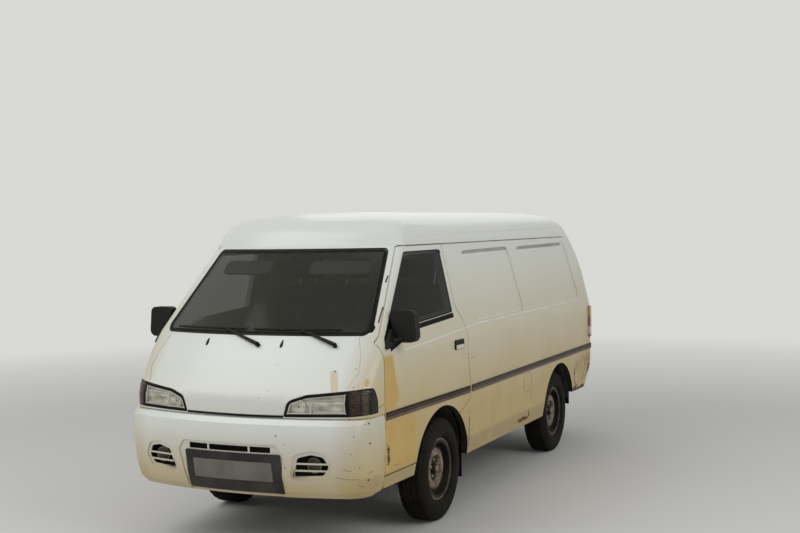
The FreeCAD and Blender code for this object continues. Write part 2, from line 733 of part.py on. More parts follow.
front_housing = wheel_housing(
    front_axle, size("front_arch_radius") + size("housing_wall"), size("front_housing_inner"), 60.0
)
front_housing = front_housing.cut(box(400.0, 500.0, front_axle - 80.0, front_axle + 80.0, 300.0, 445.0))
rear_housing = wheel_housing(
    rear_arch_centre,
    size("rear_arch_radius") + size("housing_wall"),
    size("rear_housing_inner"),
    size("side_thickness") + seat,
)
housings = both(Part.makeCompound([front_housing, rear_housing]))
add("wheel_housings", housings)

# Seat platform over the engine and between the front wheel housings.
platform_top = size("platform_top")
platform = box(-690.0, 690.0, behind(-150.0), behind(585.0), floor_top + seat, platform_top)
platform = platform.cut(box(-682.0, 682.0, behind(-142.0), behind(577.0), 0, platform_top - 8.0))
platform_arch = Part.makeCylinder(
    size("front_arch_radius") + 6.0 + seat,
    WIDE,
    Vector(size("front_housing_inner") - seat, front_axle, size("axle_height")),
    Vector(1, 0, 0),
)
platform = platform.cut([platform_arch, mirrored(platform_arch)]).common(hull(size("floor_inset") + 10.0))
add("seat_platform", platform)

# Engine: one plain block, bound to its sizes.
engine = doc.addObject("Part::Box", "engine_block")
engine.Label = "engine_block"
engine.setExpression("Length", "Sizes.engine_width")
engine.setExpression("Width", "Sizes.engine_length")
engine.setExpression("Height", "Sizes.engine_height")
engine.setExpression("Placement.Base.x", "-Sizes.engine_width / 2")
engine.setExpression(
    "Placement.Base.y",
    "(Sizes.front_overhang - Sizes.wheelbase - Sizes.rear_overhang) / 2 + Sizes.engine_behind_axle",
)
engine.setExpression("Placement.Base.z", "Sizes.engine_bottom")
nodes["engine_block"] = engine

# Frame rails with cross members, bumper horns, engine bearer, spare-wheel hanger and the rear towing eye.
rail_low = size("rail_bottom")
rail_x_low = size("rail_inner")
rail_x_high = size("rail_outer")
rail = box(rail_x_low, rail_x_high, behind(-1080.0), behind(3370.0), rail_low, floor_low - seat)
horn = box(rail_x_low - 35.0, rail_x_low + 17.0, -FAR, behind(-1060.0), 490.0, 555.0).common(
    lofted(FRONT_BUMPER_LEVELS, size("bumper_wall") + seat)
)
crosses = []
for place in (-960.0, 1250.0, 1960.0, 2905.0, 3240.0):
    crosses.append(box(-rail_x_high, rail_x_high, behind(place), behind(place + 60.0), 500.0, floor_low - seat))
bearer_low = size("engine_bottom") - 30.0
bearer_front = engine_front + 200.0
bearer_back = bearer_front + 60.0
bearer_top = size("engine_bottom") - seat
engine_bearer = box(-rail_x_high, rail_x_high, bearer_front, bearer_back, bearer_low, bearer_top)
bearer_drop = box(rail_x_low + 10.0, rail_x_high - 10.0, bearer_front, bearer_back, bearer_low, rail_low + 1.0)
spare_centre = Vector(20.0, behind(2935.0), 398.0)
hanger = box(
    spare_centre.x - 20.0,
    spare_centre.x + 20.0,
    spare_centre.y - 30.0,
    spare_centre.y + 30.0,
    spare_centre.z - size("rim_dish_back") + seat,
    510.0,
)
eye_x = (rail_x_low + rail_x_high) / 2
eye_centre = Vector(eye_x, behind(3340.0), 427.0)
eye_outline = ((3300.0, 397.0, 25.0), (3385.0, 397.0, 25.0), (3369.0, 480.0, 0.0), (3290.0, 480.0, 0.0))
eye = side_prism(eye_outline, eye_x - size("eye_width") / 2, eye_x + size("eye_width") / 2)
eye = eye.cut(rod(eye_centre - Vector(50.0, 0, 0), eye_centre + Vector(50.0, 0, 0), size("eye_radius")))
halves = [rail, horn, bearer_drop]
rails = joined([engine_bearer, hanger, eye] + halves + [mirrored(half) for half in halves] + crosses)
add("underbody_rails", rails)

# Driveline: gearbox, propeller shaft, in line with the rear axle's nose.
gear_back = engine_back + 560.0
gearbox = joined(
    [
        box(-150.0, 150.0, engine_back + seat, engine_back + 160.0, 350.0, 590.0 - 30.0),
        box(-95.0, 95.0, engine_back + 150.0, gear_back, 370.0, 540.0),
    ]
)
diff_nose = rear_axle_y - 260.0
shaft = rod(Vector(0, gear_back - 10.0, 440.0), Vector(0, diff_nose - seat, 355.0), 35.0)
add("driveline", joined([gearbox, shaft]))

# Rear axle: tubes, differential and the leaf springs with their hangers.
axle_height = size("axle_height")
rear_track = size("rear_track")
axle_end = rear_track / 2 + size("rim_dish_back") - seat
axle_tube = rod(Vector(-axle_end, rear_axle_y, axle_height), Vector(axle_end, rear_axle_y, axle_height), 38.0)
drum_inner = Vector(axle_end - 95.0, rear_axle_y, axle_height)
drum_outer = Vector(axle_end - 6.0, rear_axle_y, axle_height)
drum = rod(drum_inner, drum_outer, 140.0)
diff_low = Vector(0, rear_axle_y, axle_height + 10.0)
differential = Part.makeCone(60.0, 125.0, 70.0, diff_low - Vector(90.0, 0, 0), Vector(1, 0, 0)).fuse(
    Part.makeCone(125.0, 60.0, 110.0, diff_low - Vector(20.0, 0, 0), Vector(1, 0, 0))
)
nose_piece = rod(Vector(0, diff_nose, 355.0), Vector(0, rear_axle_y - 60.0, 340.0), 55.0)
add("rear_axle", joined([axle_tube, drum, mirrored(drum), differential, nose_piece]))


def leaf_spring():
    """One spring pack as an arched bar between two hangers that reach the rail."""
    front_eye = Vector(0, rear_axle_y - 620.0, 420.0)
    back_eye = Vector(0, rear_axle_y + 640.0, 430.0)
    low = Vector(0, rear_axle_y, axle_height - 38.0 - seat - 22.0)
    thickness = Vector(0, 0, 22.0)
    upper = Part.Arc(front_eye + thickness, low + thickness, back_eye + thickness).toShape()
    lower = Part.Arc(back_eye, low, front_eye).toShape()
    ends = [
        Part.LineSegment(back_eye + thickness, back_eye).toShape(),
        Part.LineSegment(front_eye, front_eye + thickness).toShape(),
    ]
    pack = Part.Face(Part.Wire([upper, ends[0], lower, ends[1]])).extrude(Vector(60.0, 0, 0))
    pack.translate(Vector(495.0, 0, 0))
    hangers = []
    for eye_point in (front_eye, back_eye):
        hangers.append(box(505.0, 545.0, eye_point.y - 25.0, eye_point.y + 25.0, eye_point.z, floor_low - seat))
    return joined([pack] + hangers)


add("leaf_springs", both(leaf_spring()))

# Fuel tank, exhaust, spare wheel and mud flaps.
tank = doc.addObject("Part::Box", "fuel_tank_block")
tank.setExpression("Length", "Sizes.tank_width")
tank.setExpression("Width", "Sizes.tank_length")
tank.setExpression("Height", "Sizes.tank_height")
tank.Placement.Base = Vector(rail_x_high + 12.0, behind(760.0), floor_low - seat - size("tank_height"))
tank_round = doc.addObject("Part::Fillet", "fuel_tank")
tank_round.Base = tank
doc.recompute()
tank_round.Edges = [(number, 30.0, 30.0) for number in range(1, 13)]
tank_round.Label = "fuel_tank"
nodes["fuel_tank"] = tank_round


def pipe(points, radius):
    """A pipe of straight runs with round joints."""
    path = [Vector(*point) for point in points]
    runs = [rod(start, end, radius) for start, end in zip(path, path[1:])]
    return joined(runs + [Part.makeSphere(radius, point) for point in path[1:-1]])


exhaust_line = (
    (-engine_half - seat, engine_front + 340.0, 440.0),
    (-engine_half - 60.0, engine_front + 340.0, 440.0),
    (-300.0, engine_front + 420.0, 400.0),
    (-300.0, behind(1300.0), 400.0),
    (-300.0, behind(2000.0), 430.0),
    (-300.0, behind(2250.0), 500.0),
    (-300.0, behind(2560.0), 500.0),
    (-300.0, behind(2650.0), 415.0),
    (-460.0, behind(2790.0), 400.0),
    (-460.0, behind(3440.0), 400.0),
)
muffler = rod(Vector(-300.0, behind(1350.0), 402.0), Vector(-300.0, behind(1850.0), 424.0), 74.0)


def tyre_shape():
    """A tyre about the X axis, centred on the origin."""
    radius = size("tyre_radius")
    half = size("tyre_width") / 2
    bead = size("rim_radius") - 2.0 + seat
    seat_half = size("rim_width") / 2 - 10.0 - seat
    flange = size("rim_radius") + 17.0 + seat

    half_profile = (
        (seat_half, bead),
        (seat_half, flange),
        (half, flange + 52.0),
        (half - 12.0, radius - 24.0),
        (half - 34.0, radius),
    )
    profile = list(half_profile) + [(-x, r) for x, r in reversed(half_profile)]
    points = [Vector(x, 0, r) for x, r in profile]
    return Part.Face(Part.makePolygon(points + [points[0]])).revolve(Vector(0, 0, 0), Vector(1, 0, 0), 360)


def rim_shape():
    """A pressed steel rim about the X axis, its dished face towards +X."""
    half = size("rim_width") / 2
    seat_radius = size("rim_radius") - 2.0
    lip = size("rim_radius") + 16.0
    profile = (
        (half, lip),
        (half - 10.0, lip),
        (half - 10.0, seat_radius),
        (10.0 - half, seat_radius),
        (10.0 - half, lip),
        (-half, lip),
        (-half, seat_radius - 9.0),
        (18.0, seat_radius - 9.0),
        (30.0, 130.0),
        (38.0, 108.0),
        (38.0, 92.0),
        (size("rim_dish_back"), 82.0),
        (size("rim_dish_back"), 0.0),
        (52.0, 0.0),
        (52.0, 26.0),
        (44.0, 31.0),
        (22.0, 33.0),
        (22.0, 76.0),
        (46.0, 88.0),
        (46.0, 112.0),
        (38.0, 134.0),
        (28.0, seat_radius - 9.0),
        (half, seat_radius - 9.0),
    )
    points = [Vector(x, 0, r) for x, r in profile]
    body = Part.Face(Part.makePolygon(points + [points[0]]))
    body = body.revolve(Vector(0, 0, 0), Vector(1, 0, 0), 360)
    holes = []
    for index in range(8):
        angle = math.radians(45.0 * index + 22.5)
        hole_centre = Vector(0, 142.0 * math.cos(angle), 142.0 * math.sin(angle))
        holes.append(Part.makeCylinder(13.0, 90.0, hole_centre, Vector(1, 0, 0)))
    return body.cut(holes)


tyre = tyre_shape()
rim = rim_shape()
wheel_places = {
    "front_left": Vector(size("front_track") / 2, front_axle, axle_height),
    "front_right": Vector(-size("front_track") / 2, front_axle, axle_height),
    "rear_left": Vector(rear_track / 2, rear_axle_y, axle_height),
    "rear_right": Vector(-rear_track / 2, rear_axle_y, axle_height),
}
for place_name, centre in wheel_places.items():
    turn_round = Rotation(Vector(0, 0, 1), 0 if centre.x > 0 else 180)
    for piece_name, shape in (("tyre", tyre), ("rim", rim)):
        feature = add(f"{piece_name}_{place_name}", shape)
        feature.Placement = Placement(centre, turn_round)

spare = Part.makeCompound([tyre, rim])
spare_feature = add("spare_wheel", spare)
spare_feature.Placement = Placement(spare_centre, Rotation(Vector(0, 1, 0), 90))

exhaust = joined([pipe(exhaust_line, 22.0), muffler])
add("exhaust", exhaust)

flaps = Part.makeCompound(
    [
        box(620.0, 774.0, behind(412.0), behind(420.0), 190.0, floor_low - seat),
        box(610.0, 790.0, rear_arch_centre + 404.0, rear_arch_centre + 412.0, 330.0, floor_low - seat),
    ]
)
add("mud_flaps", both(flaps))

# Front suspension: cross member, lower and upper arms.
lower_ball = axle_height - size("knuckle_half") - seat
upper_ball = axle_height + size("knuckle_half") + seat
kingpin_x = size("kingpin_offset")
member_end = rail_x_high - 5.0
cross_member = box(-member_end, member_end, front_axle - 60.0, front_axle + 60.0, 300.0, 400.0)
tower = box(300.0, member_end, front_axle - 45.0, front_axle + 45.0, 395.0, rail_low - seat)
arms = []
for height, thickness, inner_half in ((lower_ball - 20.0, 20.0, 120.0), (upper_ball, 16.0, 70.0)):
    outline = (
        Vector(340.0, front_axle - inner_half, height),
        Vector(kingpin_x - 20.0, front_axle - 22.0, height),
        Vector(kingpin_x + 14.0, front_axle - 12.0, height),
        Vector(kingpin_x + 14.0, front_axle + 12.0, height),
        Vector(kingpin_x - 20.0, front_axle + 22.0, height),
        Vector(340.0, front_axle + inner_half, height),
    )
    arms.append(Part.Face(Part.makePolygon(list(outline) + [outline[0]])).extrude(Vector(0, 0, thickness)))
drop = box(300.0, 360.0, front_axle - 60.0, front_axle + 60.0, lower_ball - 20.0, 310.0)
links = arms + [tower, drop]
add("front_suspension", joined([cross_member] + links + [mirrored(link) for link in links]))


def knuckle():
    """A steering knuckle about the left wheel: upright, stub axle and hub flange."""
    centre = Vector(kingpin_x, front_axle, axle_height)
    upright = box(
        kingpin_x - 22.0,
        kingpin_x + 12.0,
        front_axle - 26.0,
        front_axle + 26.0,
        lower_ball + seat,
        upper_ball - seat,
    )
    hub_reach = size("front_track") / 2 + size("rim_dish_back") - seat - kingpin_x
    hub = rod(centre - Vector(20.0, 0, 0), centre + Vector(hub_reach, 0, 0), 60.0)
    disc = rod(centre + Vector(26.0, 0, 0), centre + Vector(40.0, 0, 0), 125.0)
    return joined([upright, hub, disc])


add("knuckle_left", knuckle())
add("knuckle_right", mirrored(knuckle()))

# Dashboard with the steering column.
dash_outline = (
    (-1080.0, 880.0, 0.0),
    (-560.0, 860.0, 40.0),
    (-480.0, 960.0, 30.0),
    (-500.0, 1160.0, 40.0),
    (-600.0, 1205.0, 60.0),
    (-880.0, 1222.0, 20.0),
    (-1080.0, 1100.0, 0.0),
)
dashboard = side_prism(dash_outline, -WIDE, WIDE).common(hull(size("nose_thickness") + 30.0 + seat))
dash_seat = box(-500.0, 500.0, -FAR, behind(-1000.0), 880.0, 960.0).common(hull(size("nose_thickness") + seat))
tilt = math.radians(size("column_tilt"))
column_axis = Vector(0, math.cos(tilt), math.sin(tilt))
wheel_centre = Vector(size("wheel_side"), behind(size("wheel_behind_axle")), size("wheel_height"))
hub_depth = 30.0
column_top = wheel_centre - column_axis * (hub_depth + seat)
column = rod(column_top - column_axis * size("column_length"), column_top, 32.0)
add("dashboard", joined([dashboard, dash_seat, column]))

# Steering wheel: rim, hub and three spokes, turned to the column.
grip = Part.makeTorus(size("wheel_rim_radius"), size("wheel_grip"))
hub = Part.makeCylinder(48.0, hub_depth + 14.0, Vector(0, 0, -hub_depth))
spokes = []
for angle in (90.0, 210.0, 330.0):
    spoke = box(-14.0, 14.0, 30.0, size("wheel_rim_radius"), -8.0, 6.0)
    spoke.rotate(Vector(0, 0, 0), Vector(0, 0, 1), angle)
    spokes.append(spoke)
steering = add("steering_wheel", joined([grip, hub] + spokes))
steering.Placement = Placement(wheel_centre, Rotation(Vector(0, 0, 1), column_axis))


def seat_shape(x_low, x_high, heads):
    """A cushion, a leaning backrest and head rests as one soft form."""
    low = platform_top + seat
    cushion = side_prism(
        ((-70.0, low, 20.0), (470.0, low, 20.0), (470.0, low + 120.0, 20.0), (-70.0, low + 135.0, 50.0)),
        x_low,
        x_high,
    )
    waist = low + 60.0
    shoulder = low + 640.0
    neck = low + 620.0
    crown = low + 800.0
    back = side_prism(
        ((380.0, waist, 10.0), (480.0, waist, 10.0), (575.0, shoulder, 40.0), (485.0, shoulder, 40.0)),
        x_low,
        x_high,
    )
    head = ((500.0, neck, 10.0), (575.0, neck, 10.0), (600.0, crown, 30.0), (525.0, crown, 30.0))
    return joined([cushion, back] + [side_prism(head, x - 130.0, x + 130.0) for x in heads])


add("driver_seat", seat_shape(170.0, 640.0, (405.0,)))
add("passenger_seat", seat_shape(-640.0, 120.0, (-430.0, -60.0)))


def off_nose(x, height, offset):
    """A point held a distance off the body's front surface, and the way that surface faces."""
    low, high = next(pair for pair in zip(HULL_LEVELS, HULL_LEVELS[1:]) if pair[1][0] >= height)
    lean = (low[2] - high[2]) / (high[0] - low[0])
    radius = size("plan_axis_back") + low[2] - lean * (height - low[0])
    depth = math.sqrt(radius**2 - x**2)
    normal = Vector(x / radius, -depth / radius, lean).normalize()
    return Vector(x, behind(size("plan_axis_back") - depth), height) + normal * offset, normal


def on_screen(x, offset):
    return off_nose(x, 1266.0, offset)[0]


def wiper(pivot_x, elbow_x, end_x, start_x):
    """One wiper with its foot on the cowl, its arm and its blade, lying just off the glass."""
    foot_low, normal = off_nose(pivot_x, 1184.0, seat + 0.1)
    foot_top = foot_low + normal * 18.0
    stations = [start_x + (end_x - start_x) * index / 4 for index in range(5)]
    blade = pipe([on_screen(x, 11.0) for x in stations], 6.0)
    elbow = on_screen(elbow_x, 17.0)
    reach = elbow - foot_top
    arm = Part.makeCone(12.0, 6.0, reach.Length, foot_top, reach)
    return joined([rod(foot_low, foot_top, 13.0), arm, Part.makeSphere(6.0, elbow), blade])


add("wipers", Part.makeCompound([wiper(532.0, 289.0, -10.0, 540.0), wiper(58.0, -221.0, -600.0, -60.0)]))


def check(objects):
    """Stops on any failed feature and on any empty or faulty sub-part."""
    for item in doc.Objects:
        if "Invalid" in item.State or "Error" in item.State:
            raise RuntimeError(f"{item.Label} failed: {item.State}")
    for label, item in objects.items():
        if item.Shape.isNull() or not item.Shape.isValid():
            raise RuntimeError(f"{label} has no valid shape")


doc.recompute()
check(nodes)
os.makedirs("parts", exist_ok=True)
for label, item in sorted(nodes.items()):
    item.Shape.exportStep(os.path.join("parts", label + ".step"))
    bounds = item.Shape.BoundBox
    print(
        f"{label:22s} solids {len(item.Shape.Solids):2d}  x {bounds.XMin:7.1f} {bounds.XMax:7.1f}"
        f"  y {bounds.YMin:7.1f} {bounds.YMax:7.1f}  z {bounds.ZMin:7.1f} {bounds.ZMax:7.1f}"
    )
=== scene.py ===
import json
import math

import bmesh
import bpy
from mathutils import Matrix, Vector
from mathutils.bvhtree import BVHTree


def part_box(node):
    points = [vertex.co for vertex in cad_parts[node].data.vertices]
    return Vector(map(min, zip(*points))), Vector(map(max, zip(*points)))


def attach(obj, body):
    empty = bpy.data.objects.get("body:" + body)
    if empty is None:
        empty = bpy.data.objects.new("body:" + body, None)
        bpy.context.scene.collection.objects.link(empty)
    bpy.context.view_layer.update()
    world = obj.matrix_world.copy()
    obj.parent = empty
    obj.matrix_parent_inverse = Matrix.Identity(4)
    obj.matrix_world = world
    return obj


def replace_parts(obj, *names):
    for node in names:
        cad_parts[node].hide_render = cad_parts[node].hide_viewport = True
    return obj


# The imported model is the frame. Lengths are in metres, and MM turns millimetres into them.
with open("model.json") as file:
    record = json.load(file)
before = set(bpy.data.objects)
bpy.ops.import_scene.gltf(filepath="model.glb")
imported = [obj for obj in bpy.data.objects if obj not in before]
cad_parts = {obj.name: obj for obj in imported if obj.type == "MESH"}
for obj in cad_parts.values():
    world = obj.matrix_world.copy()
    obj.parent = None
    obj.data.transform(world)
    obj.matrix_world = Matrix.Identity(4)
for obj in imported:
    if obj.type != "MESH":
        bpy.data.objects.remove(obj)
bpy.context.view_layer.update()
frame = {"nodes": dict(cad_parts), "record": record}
nodes = frame["nodes"]
MM = 0.001


def middle(node):
    low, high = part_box(node)
    return (low + high) / 2


front_wheel = middle("tyre_front_left")
rear_wheel = middle("tyre_rear_left")
tyre_low, tyre_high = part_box("tyre_front_left")
tyre_radius = (tyre_high.z - tyre_low.z) / 2
tyre_half = (tyre_high.x - tyre_low.x) / 2


def behind(distance):
    """The Y of a place that lies so many millimetres behind the front axle."""
    return front_wheel.y + distance * MM


# Shader sockets as values that take part in plain arithmetic.
class Wire:
    """One output socket, with the finish whose nodes it belongs to."""

    def __init__(self, finish, socket):
        self.finish = finish
        self.socket = socket

    def maths(self, operation, *others):
        return self.finish.node("ShaderNodeMath", {"operation": operation}, self, *others)

    def __add__(self, other):
        return self.maths("ADD", other)

    def __sub__(self, other):
        return self.maths("SUBTRACT", other)

    def __mul__(self, other):
        return self.maths("MULTIPLY", other)

    def __rsub__(self, other):
        return self.finish.node("ShaderNodeMath", {"operation": "SUBTRACT"}, other, self)

    __radd__ = __add__
    __rmul__ = __mul__

    def absolute(self):
        return self.maths("ABSOLUTE")

    def lesser(self, other):
        return self.maths("MINIMUM", other)

    def greater(self, other):
        return self.maths("MAXIMUM", other)

    def hypotenuse(self, other):
        return (self * self + other * other).maths("SQRT")

    def rise(self, low, high):
        """0 below low, 1 above high, and a straight ramp between."""
        return self.finish.node("ShaderNodeMapRange", {"clamp": True}, self, low, high, 0.0, 1.0)

    def band(self, low, high, soft):
        """1 from low to high, falling to 0 over a soft edge."""
        return self.rise(low - soft, low + soft) * (1.0 - self.rise(high - soft, high + soft))


class Finish:
    """One material in the making: its surface shader and the place of a point in the part's frame."""

    def __init__(self, name, **fixed):
        self.material = bpy.data.materials.new(name)
        self.material.use_nodes = True
        self.tree = self.material.node_tree
        self.surface = self.tree.nodes["Principled BSDF"]
        self.place = self.node("ShaderNodeTexCoord", out="Object")
        self.x, self.y, self.z = (
            self.node("ShaderNodeSeparateXYZ", {}, self.place, out=axis) for axis in "XYZ"
        )
        self.set(**fixed)

    def plug(self, value, socket):
        """Links a wire to a socket, or sets the socket's own value, with colours written as #rrggbb."""
        if isinstance(value, Wire):
            self.tree.links.new(value.socket, socket)
        else:
            socket.default_value = tint(value) if isinstance(value, str) else value

    def node(self, kind, settings=None, *inputs, out=0, **named):
        made = self.tree.nodes.new(kind)
        for name, value in (settings or {}).items():
            setattr(made, name, value)
        for value, socket in zip(inputs, made.inputs):
            self.plug(value, socket)
        for name, value in named.items():
            self.plug(value, made.inputs[name.replace("_", " ")])
        return Wire(self, made.outputs[out])

    def set(self, **values):
        for name, value in values.items():
            self.plug(value, self.surface.inputs[name.replace("_", " ")])
        return self

    def mix(self, low, high, factor):
        made = self.tree.nodes.new("ShaderNodeMix")
        made.data_type = "RGBA"
        for value, index in ((factor, 0), (low, 6), (high, 7)):
            self.plug(value, made.inputs[index])
        return Wire(self, made.outputs[2])

    def vectors(self, operation, *values, out=0):
        return self.node("ShaderNodeVectorMath", {"operation": operation}, *values, out=out)

    def noise(self, scale, detail=3.0, roughness=0.55, place=None):
        sockets = {"Scale": scale, "Detail": detail, "Roughness": roughness}
        return self.node("ShaderNodeTexNoise", Vector=place or self.place, **sockets)

    def stretched(self, stretch):
        """The place with its axes stretched, for streaks and grain."""
        return self.vectors("MULTIPLY", self.place, stretch)

    def spot(self, centre, size, ragged=0.35):
        """1 inside a lump at a centre with half sizes, with a ragged edge."""
        away = self.vectors("DIVIDE", self.vectors("SUBTRACT", self.place, centre), size)
        reach = self.vectors("LENGTH", away, out="Value")
        return 1.0 - (reach + (self.noise(38.0) - 0.5) * ragged * 2).rise(0.86, 1.04)

    def reach(self, y, z):
        """How far a point lies from a line across the body at a Y and a height."""
        return (self.y - y).hypotenuse(self.z - z)

    def relief(self, height, distance, strength=1.0):
        bump = self.node("ShaderNodeBump", Height=height, Distance=distance, Strength=strength)
        return self.set(Normal=bump)


def tint(code):
    """A colour written as #rrggbb, as the shader's linear values."""
    shades = [int(code[start:start + 2], 16) / 255 for start in (1, 3, 5)]
    return tuple(s / 12.92 if s <= 0.04045 else ((s + 0.055) / 1.055) ** 2.4 for s in shades) + (1.0,)


def place_of(x, distance, z):
    """A point from X, the distance behind the front axle and the height, all in millimetres."""
    return (x * MM, behind(distance), z * MM)


# Bare rusty places on the left side: X, behind the front axle and height in millimetres, then half sizes.
RUST_SPOTS = (
    ((812, -757, 552), (0.05, 0.016, 0.046)),
    ((842, 2850, 452), (0.06, 0.050, 0.042)),
    ((842, 3050, 444), (0.06, 0.190, 0.018)),
    ((842, 3240, 560), (0.06, 0.022, 0.110)),
    ((842, 2822, 560), (0.06, 0.010, 0.100)),
    ((838, 1500, 404), (0.06, 0.140, 0.014)),
    ((842, 1640, 430), (0.06, 0.014, 0.040)),
    ((842, 408, 500), (0.06, 0.008, 0.110)),
)


def paint(name, creamy):
    """White paint: dirty low down, warm-tinted low down and on the sides as painted light reflected from the
    ground together with yellowing, greyer on the sides as painted shade, with bare primer, rust, chips and
    dents on the left.
    """
    f = Finish(name, Coat_Roughness=0.22, Specular_IOR_Level=0.5)
    left = f.x.rise(0.70, 0.74)
    aside = f.x.absolute().rise(0.62, 0.80)
    blotches = f.noise(2.4, 4.0)
    cream = creamy(f, aside) * (blotches * 0.5 + 0.75)
    # The sides below the roof edge turn greyer and greener: painted shade with a cool sky reflection.
    colour = f.mix("#dfe2dc", "#cdcfc0", aside * (1.0 - f.z.rise(1.72, 1.80)) * 0.7)
    # The warm tint that creamy() spreads is painted warm light reflected from the ground, together with
    # yellowed dirt.
    colour = f.mix(colour, "#c2aa70", cream.rise(0.0, 1.0))
    runs = f.noise(4.0, 4.0, 0.6, f.stretched((1.4, 1.4, 0.5))).rise(0.50, 0.80)
    grime = runs * (1.0 - f.z.rise(0.35, 1.15)) * aside * 0.45
    sill = aside * (1.0 - f.z.rise(0.455, 0.475)) * f.noise(7.0, 4.0).rise(0.15, 0.5) * 0.6
    colour = f.mix(colour, "#9c8a62", grime.greater(sill))
    edge = (f.noise(14.0) - 0.5) * 0.03
    along = f.y + edge
    stripe_end = f.z.rise(0.90, 1.13) * 0.070 + (1.0 - f.z.rise(0.80, 0.86)) * 0.07
    stripe = (along + stripe_end).band(behind(-900), behind(-625), 0.003) * f.z.band(0.804, 1.122, 0.006)
    stripe = stripe * f.y.rise(behind(-800), behind(-799))
    primed = along.band(behind(-806), behind(-408), 0.003) * (f.z + edge).band(0.450, 0.744, 0.006)
    slant = f.x + f.z * 0.39
    nose_stripe = slant.band(0.9595, 1.0015, 0.003) * f.z.band(0.945, 1.052, 0.006)
    nose_stripe = nose_stripe * (1.0 - f.y.rise(behind(-900), behind(-860)))
    primer = ((stripe + primed) * left).greater(nose_stripe * 0.5)
    primer = primer.greater(f.spot(place_of(766, -952, 995), (0.014, 0.04, 0.026)) * 0.8)
    colour = f.mix(colour, f.mix("#cfb36c", "#bf9a5c", f.noise(9.0, 4.0)), primer)
    quarter = f.y.band(behind(2860), behind(3300), 0.05) * f.z.band(0.43, 0.72, 0.04) * left
    stain = quarter * f.noise(9.0, 5.0, 0.6).rise(0.42, 0.62)
    colour = f.mix(colour, f.mix("#b08c50", "#7d5f38", f.noise(30.0, 4.0)), stain * 0.7)
    rust = f.noise(160.0, 2.0).rise(0.77, 0.80) * f.noise(11.0).rise(0.58, 0.64) * left
    for spot, size in RUST_SPOTS:
        rust = rust.greater(f.spot(place_of(*spot), size, 1.9))
    colour = f.mix(colour, f.mix("#7a5a2a", "#2e2111", f.noise(70.0, 4.0).rise(0.35, 0.65)), rust)
    # Black round the wheel openings: underseal on the lip, and painted shade of the wheel wells on the lip
    # and on a thin band of the outer skin.
    front_arch = f.reach(front_wheel.y, front_wheel.z)
    rear_arch = f.reach(rear_wheel.y - 30 * MM, rear_wheel.z) + 4 * MM
    arch = 1.0 - front_arch.lesser(rear_arch).rise(0.4020, 0.4028)
    colour = f.mix(colour, "#14120f", arch)
    folds = (f.noise(3.6, 1.5, 0.5, f.stretched((1.0, 2.0, -1.5))) - 0.5).absolute()
    waves = f.noise(1.6, 2.0) * 0.010 + f.noise(900.0, 1.0) * 0.00005
    height = waves - folds * quarter * 0.30 + rust * f.noise(120.0) * 0.002 - primer * 0.0004
    bare = rust.greater(arch).greater(primer * 0.7)
    f.set(Base_Color=colour, Roughness=0.32 + cream * 0.2 + bare * 0.4, Coat_Weight=0.3 - bare * 0.3)
    return f.relief(height, 1.0, 0.55)


# Where the body's paint takes its warm tint: the sides, the tail and low down; painted light reflected from
# the ground, together with yellowed dirt.
def body_cream(f, aside):
    side = (1.0 - f.z.rise(0.42, 1.85)) * aside * 0.92
    tail = (1.0 - f.z.rise(0.62, 1.25)) * f.y.rise(behind(3150), behind(3250)) * 0.35
    return side + tail + (1.0 - f.z.rise(0.60, 1.15)) * 0.26


# Where the bumper's paint takes its warm tint: low down and at its ends; painted light reflected from the
# ground, together with yellowed dirt.
def bumper_cream(f, aside):
    return (1.0 - f.z.rise(0.48, 0.76)) * 0.60 + (1.0 - f.z.rise(0.40, 0.46)) * 0.2 + aside * 0.32


def clear_glass(name, colour, alpha):
    f = Finish(name, Base_Color=colour, Specular_IOR_Level=0.6, IOR=1.5)
    dust = f.noise(7.0, 1.5).rise(0.35, 0.75)
    f.set(Roughness=0.04 + dust * 0.04, Alpha=alpha + dust * 0.08)
    return f


def tinted_glass(name):
    """The body's glass, darker in the cab doors."""
    f = clear_glass(name, "#000000", 0.52)
    door = f.x.absolute().rise(0.66, 0.70)
    f.set(Base_Color=f.mix("#4a4b42", "#0d0e0b", door), Alpha=0.32 + door * 0.26)
    return f.set(Specular_IOR_Level=0.15)


def moulded(name, dark, worn, grain=650.0, rough=0.55):
    """Moulded plastic with a fine grain, paler where it has weathered."""
    f = Finish(name, Specular_IOR_Level=0.25)
    worn_share = f.noise(6.0, 5.0).rise(0.40, 0.75)
    f.set(Base_Color=f.mix(dark, worn, worn_share), Roughness=rough + worn_share * 0.2)
    return f.relief(f.node("ShaderNodeTexVoronoi", Vector=f.place, Scale=grain), 0.0004, 0.5)


def painted_steel(name, colour, dirt, amount=0.5, metal=0.0):
    """Underbody steel with dust and rust over its paint."""
    f = Finish(name, Metallic=metal)
    dirty = f.noise(4.0, 6.0, 0.65).rise(0.62 - amount * 0.4, 0.85)
    rusty = f.noise(23.0, 5.0, 0.7).rise(0.60, 0.72)
    colour = f.mix(f.mix(colour, dirt, dirty), "#5b3a22", rusty * amount)
    f.set(Base_Color=colour, Roughness=0.55 + dirty * 0.3)
    return f.relief(f.noise(180.0, 4.0) * 0.5 + dirty, 0.0015, 0.6)


# Heights on the rub strips in metres: the whole strip and its bronze lower edge.
STRIP = (0.755, 0.803)
STRIP_BRONZE = (0.7605, 0.7735)


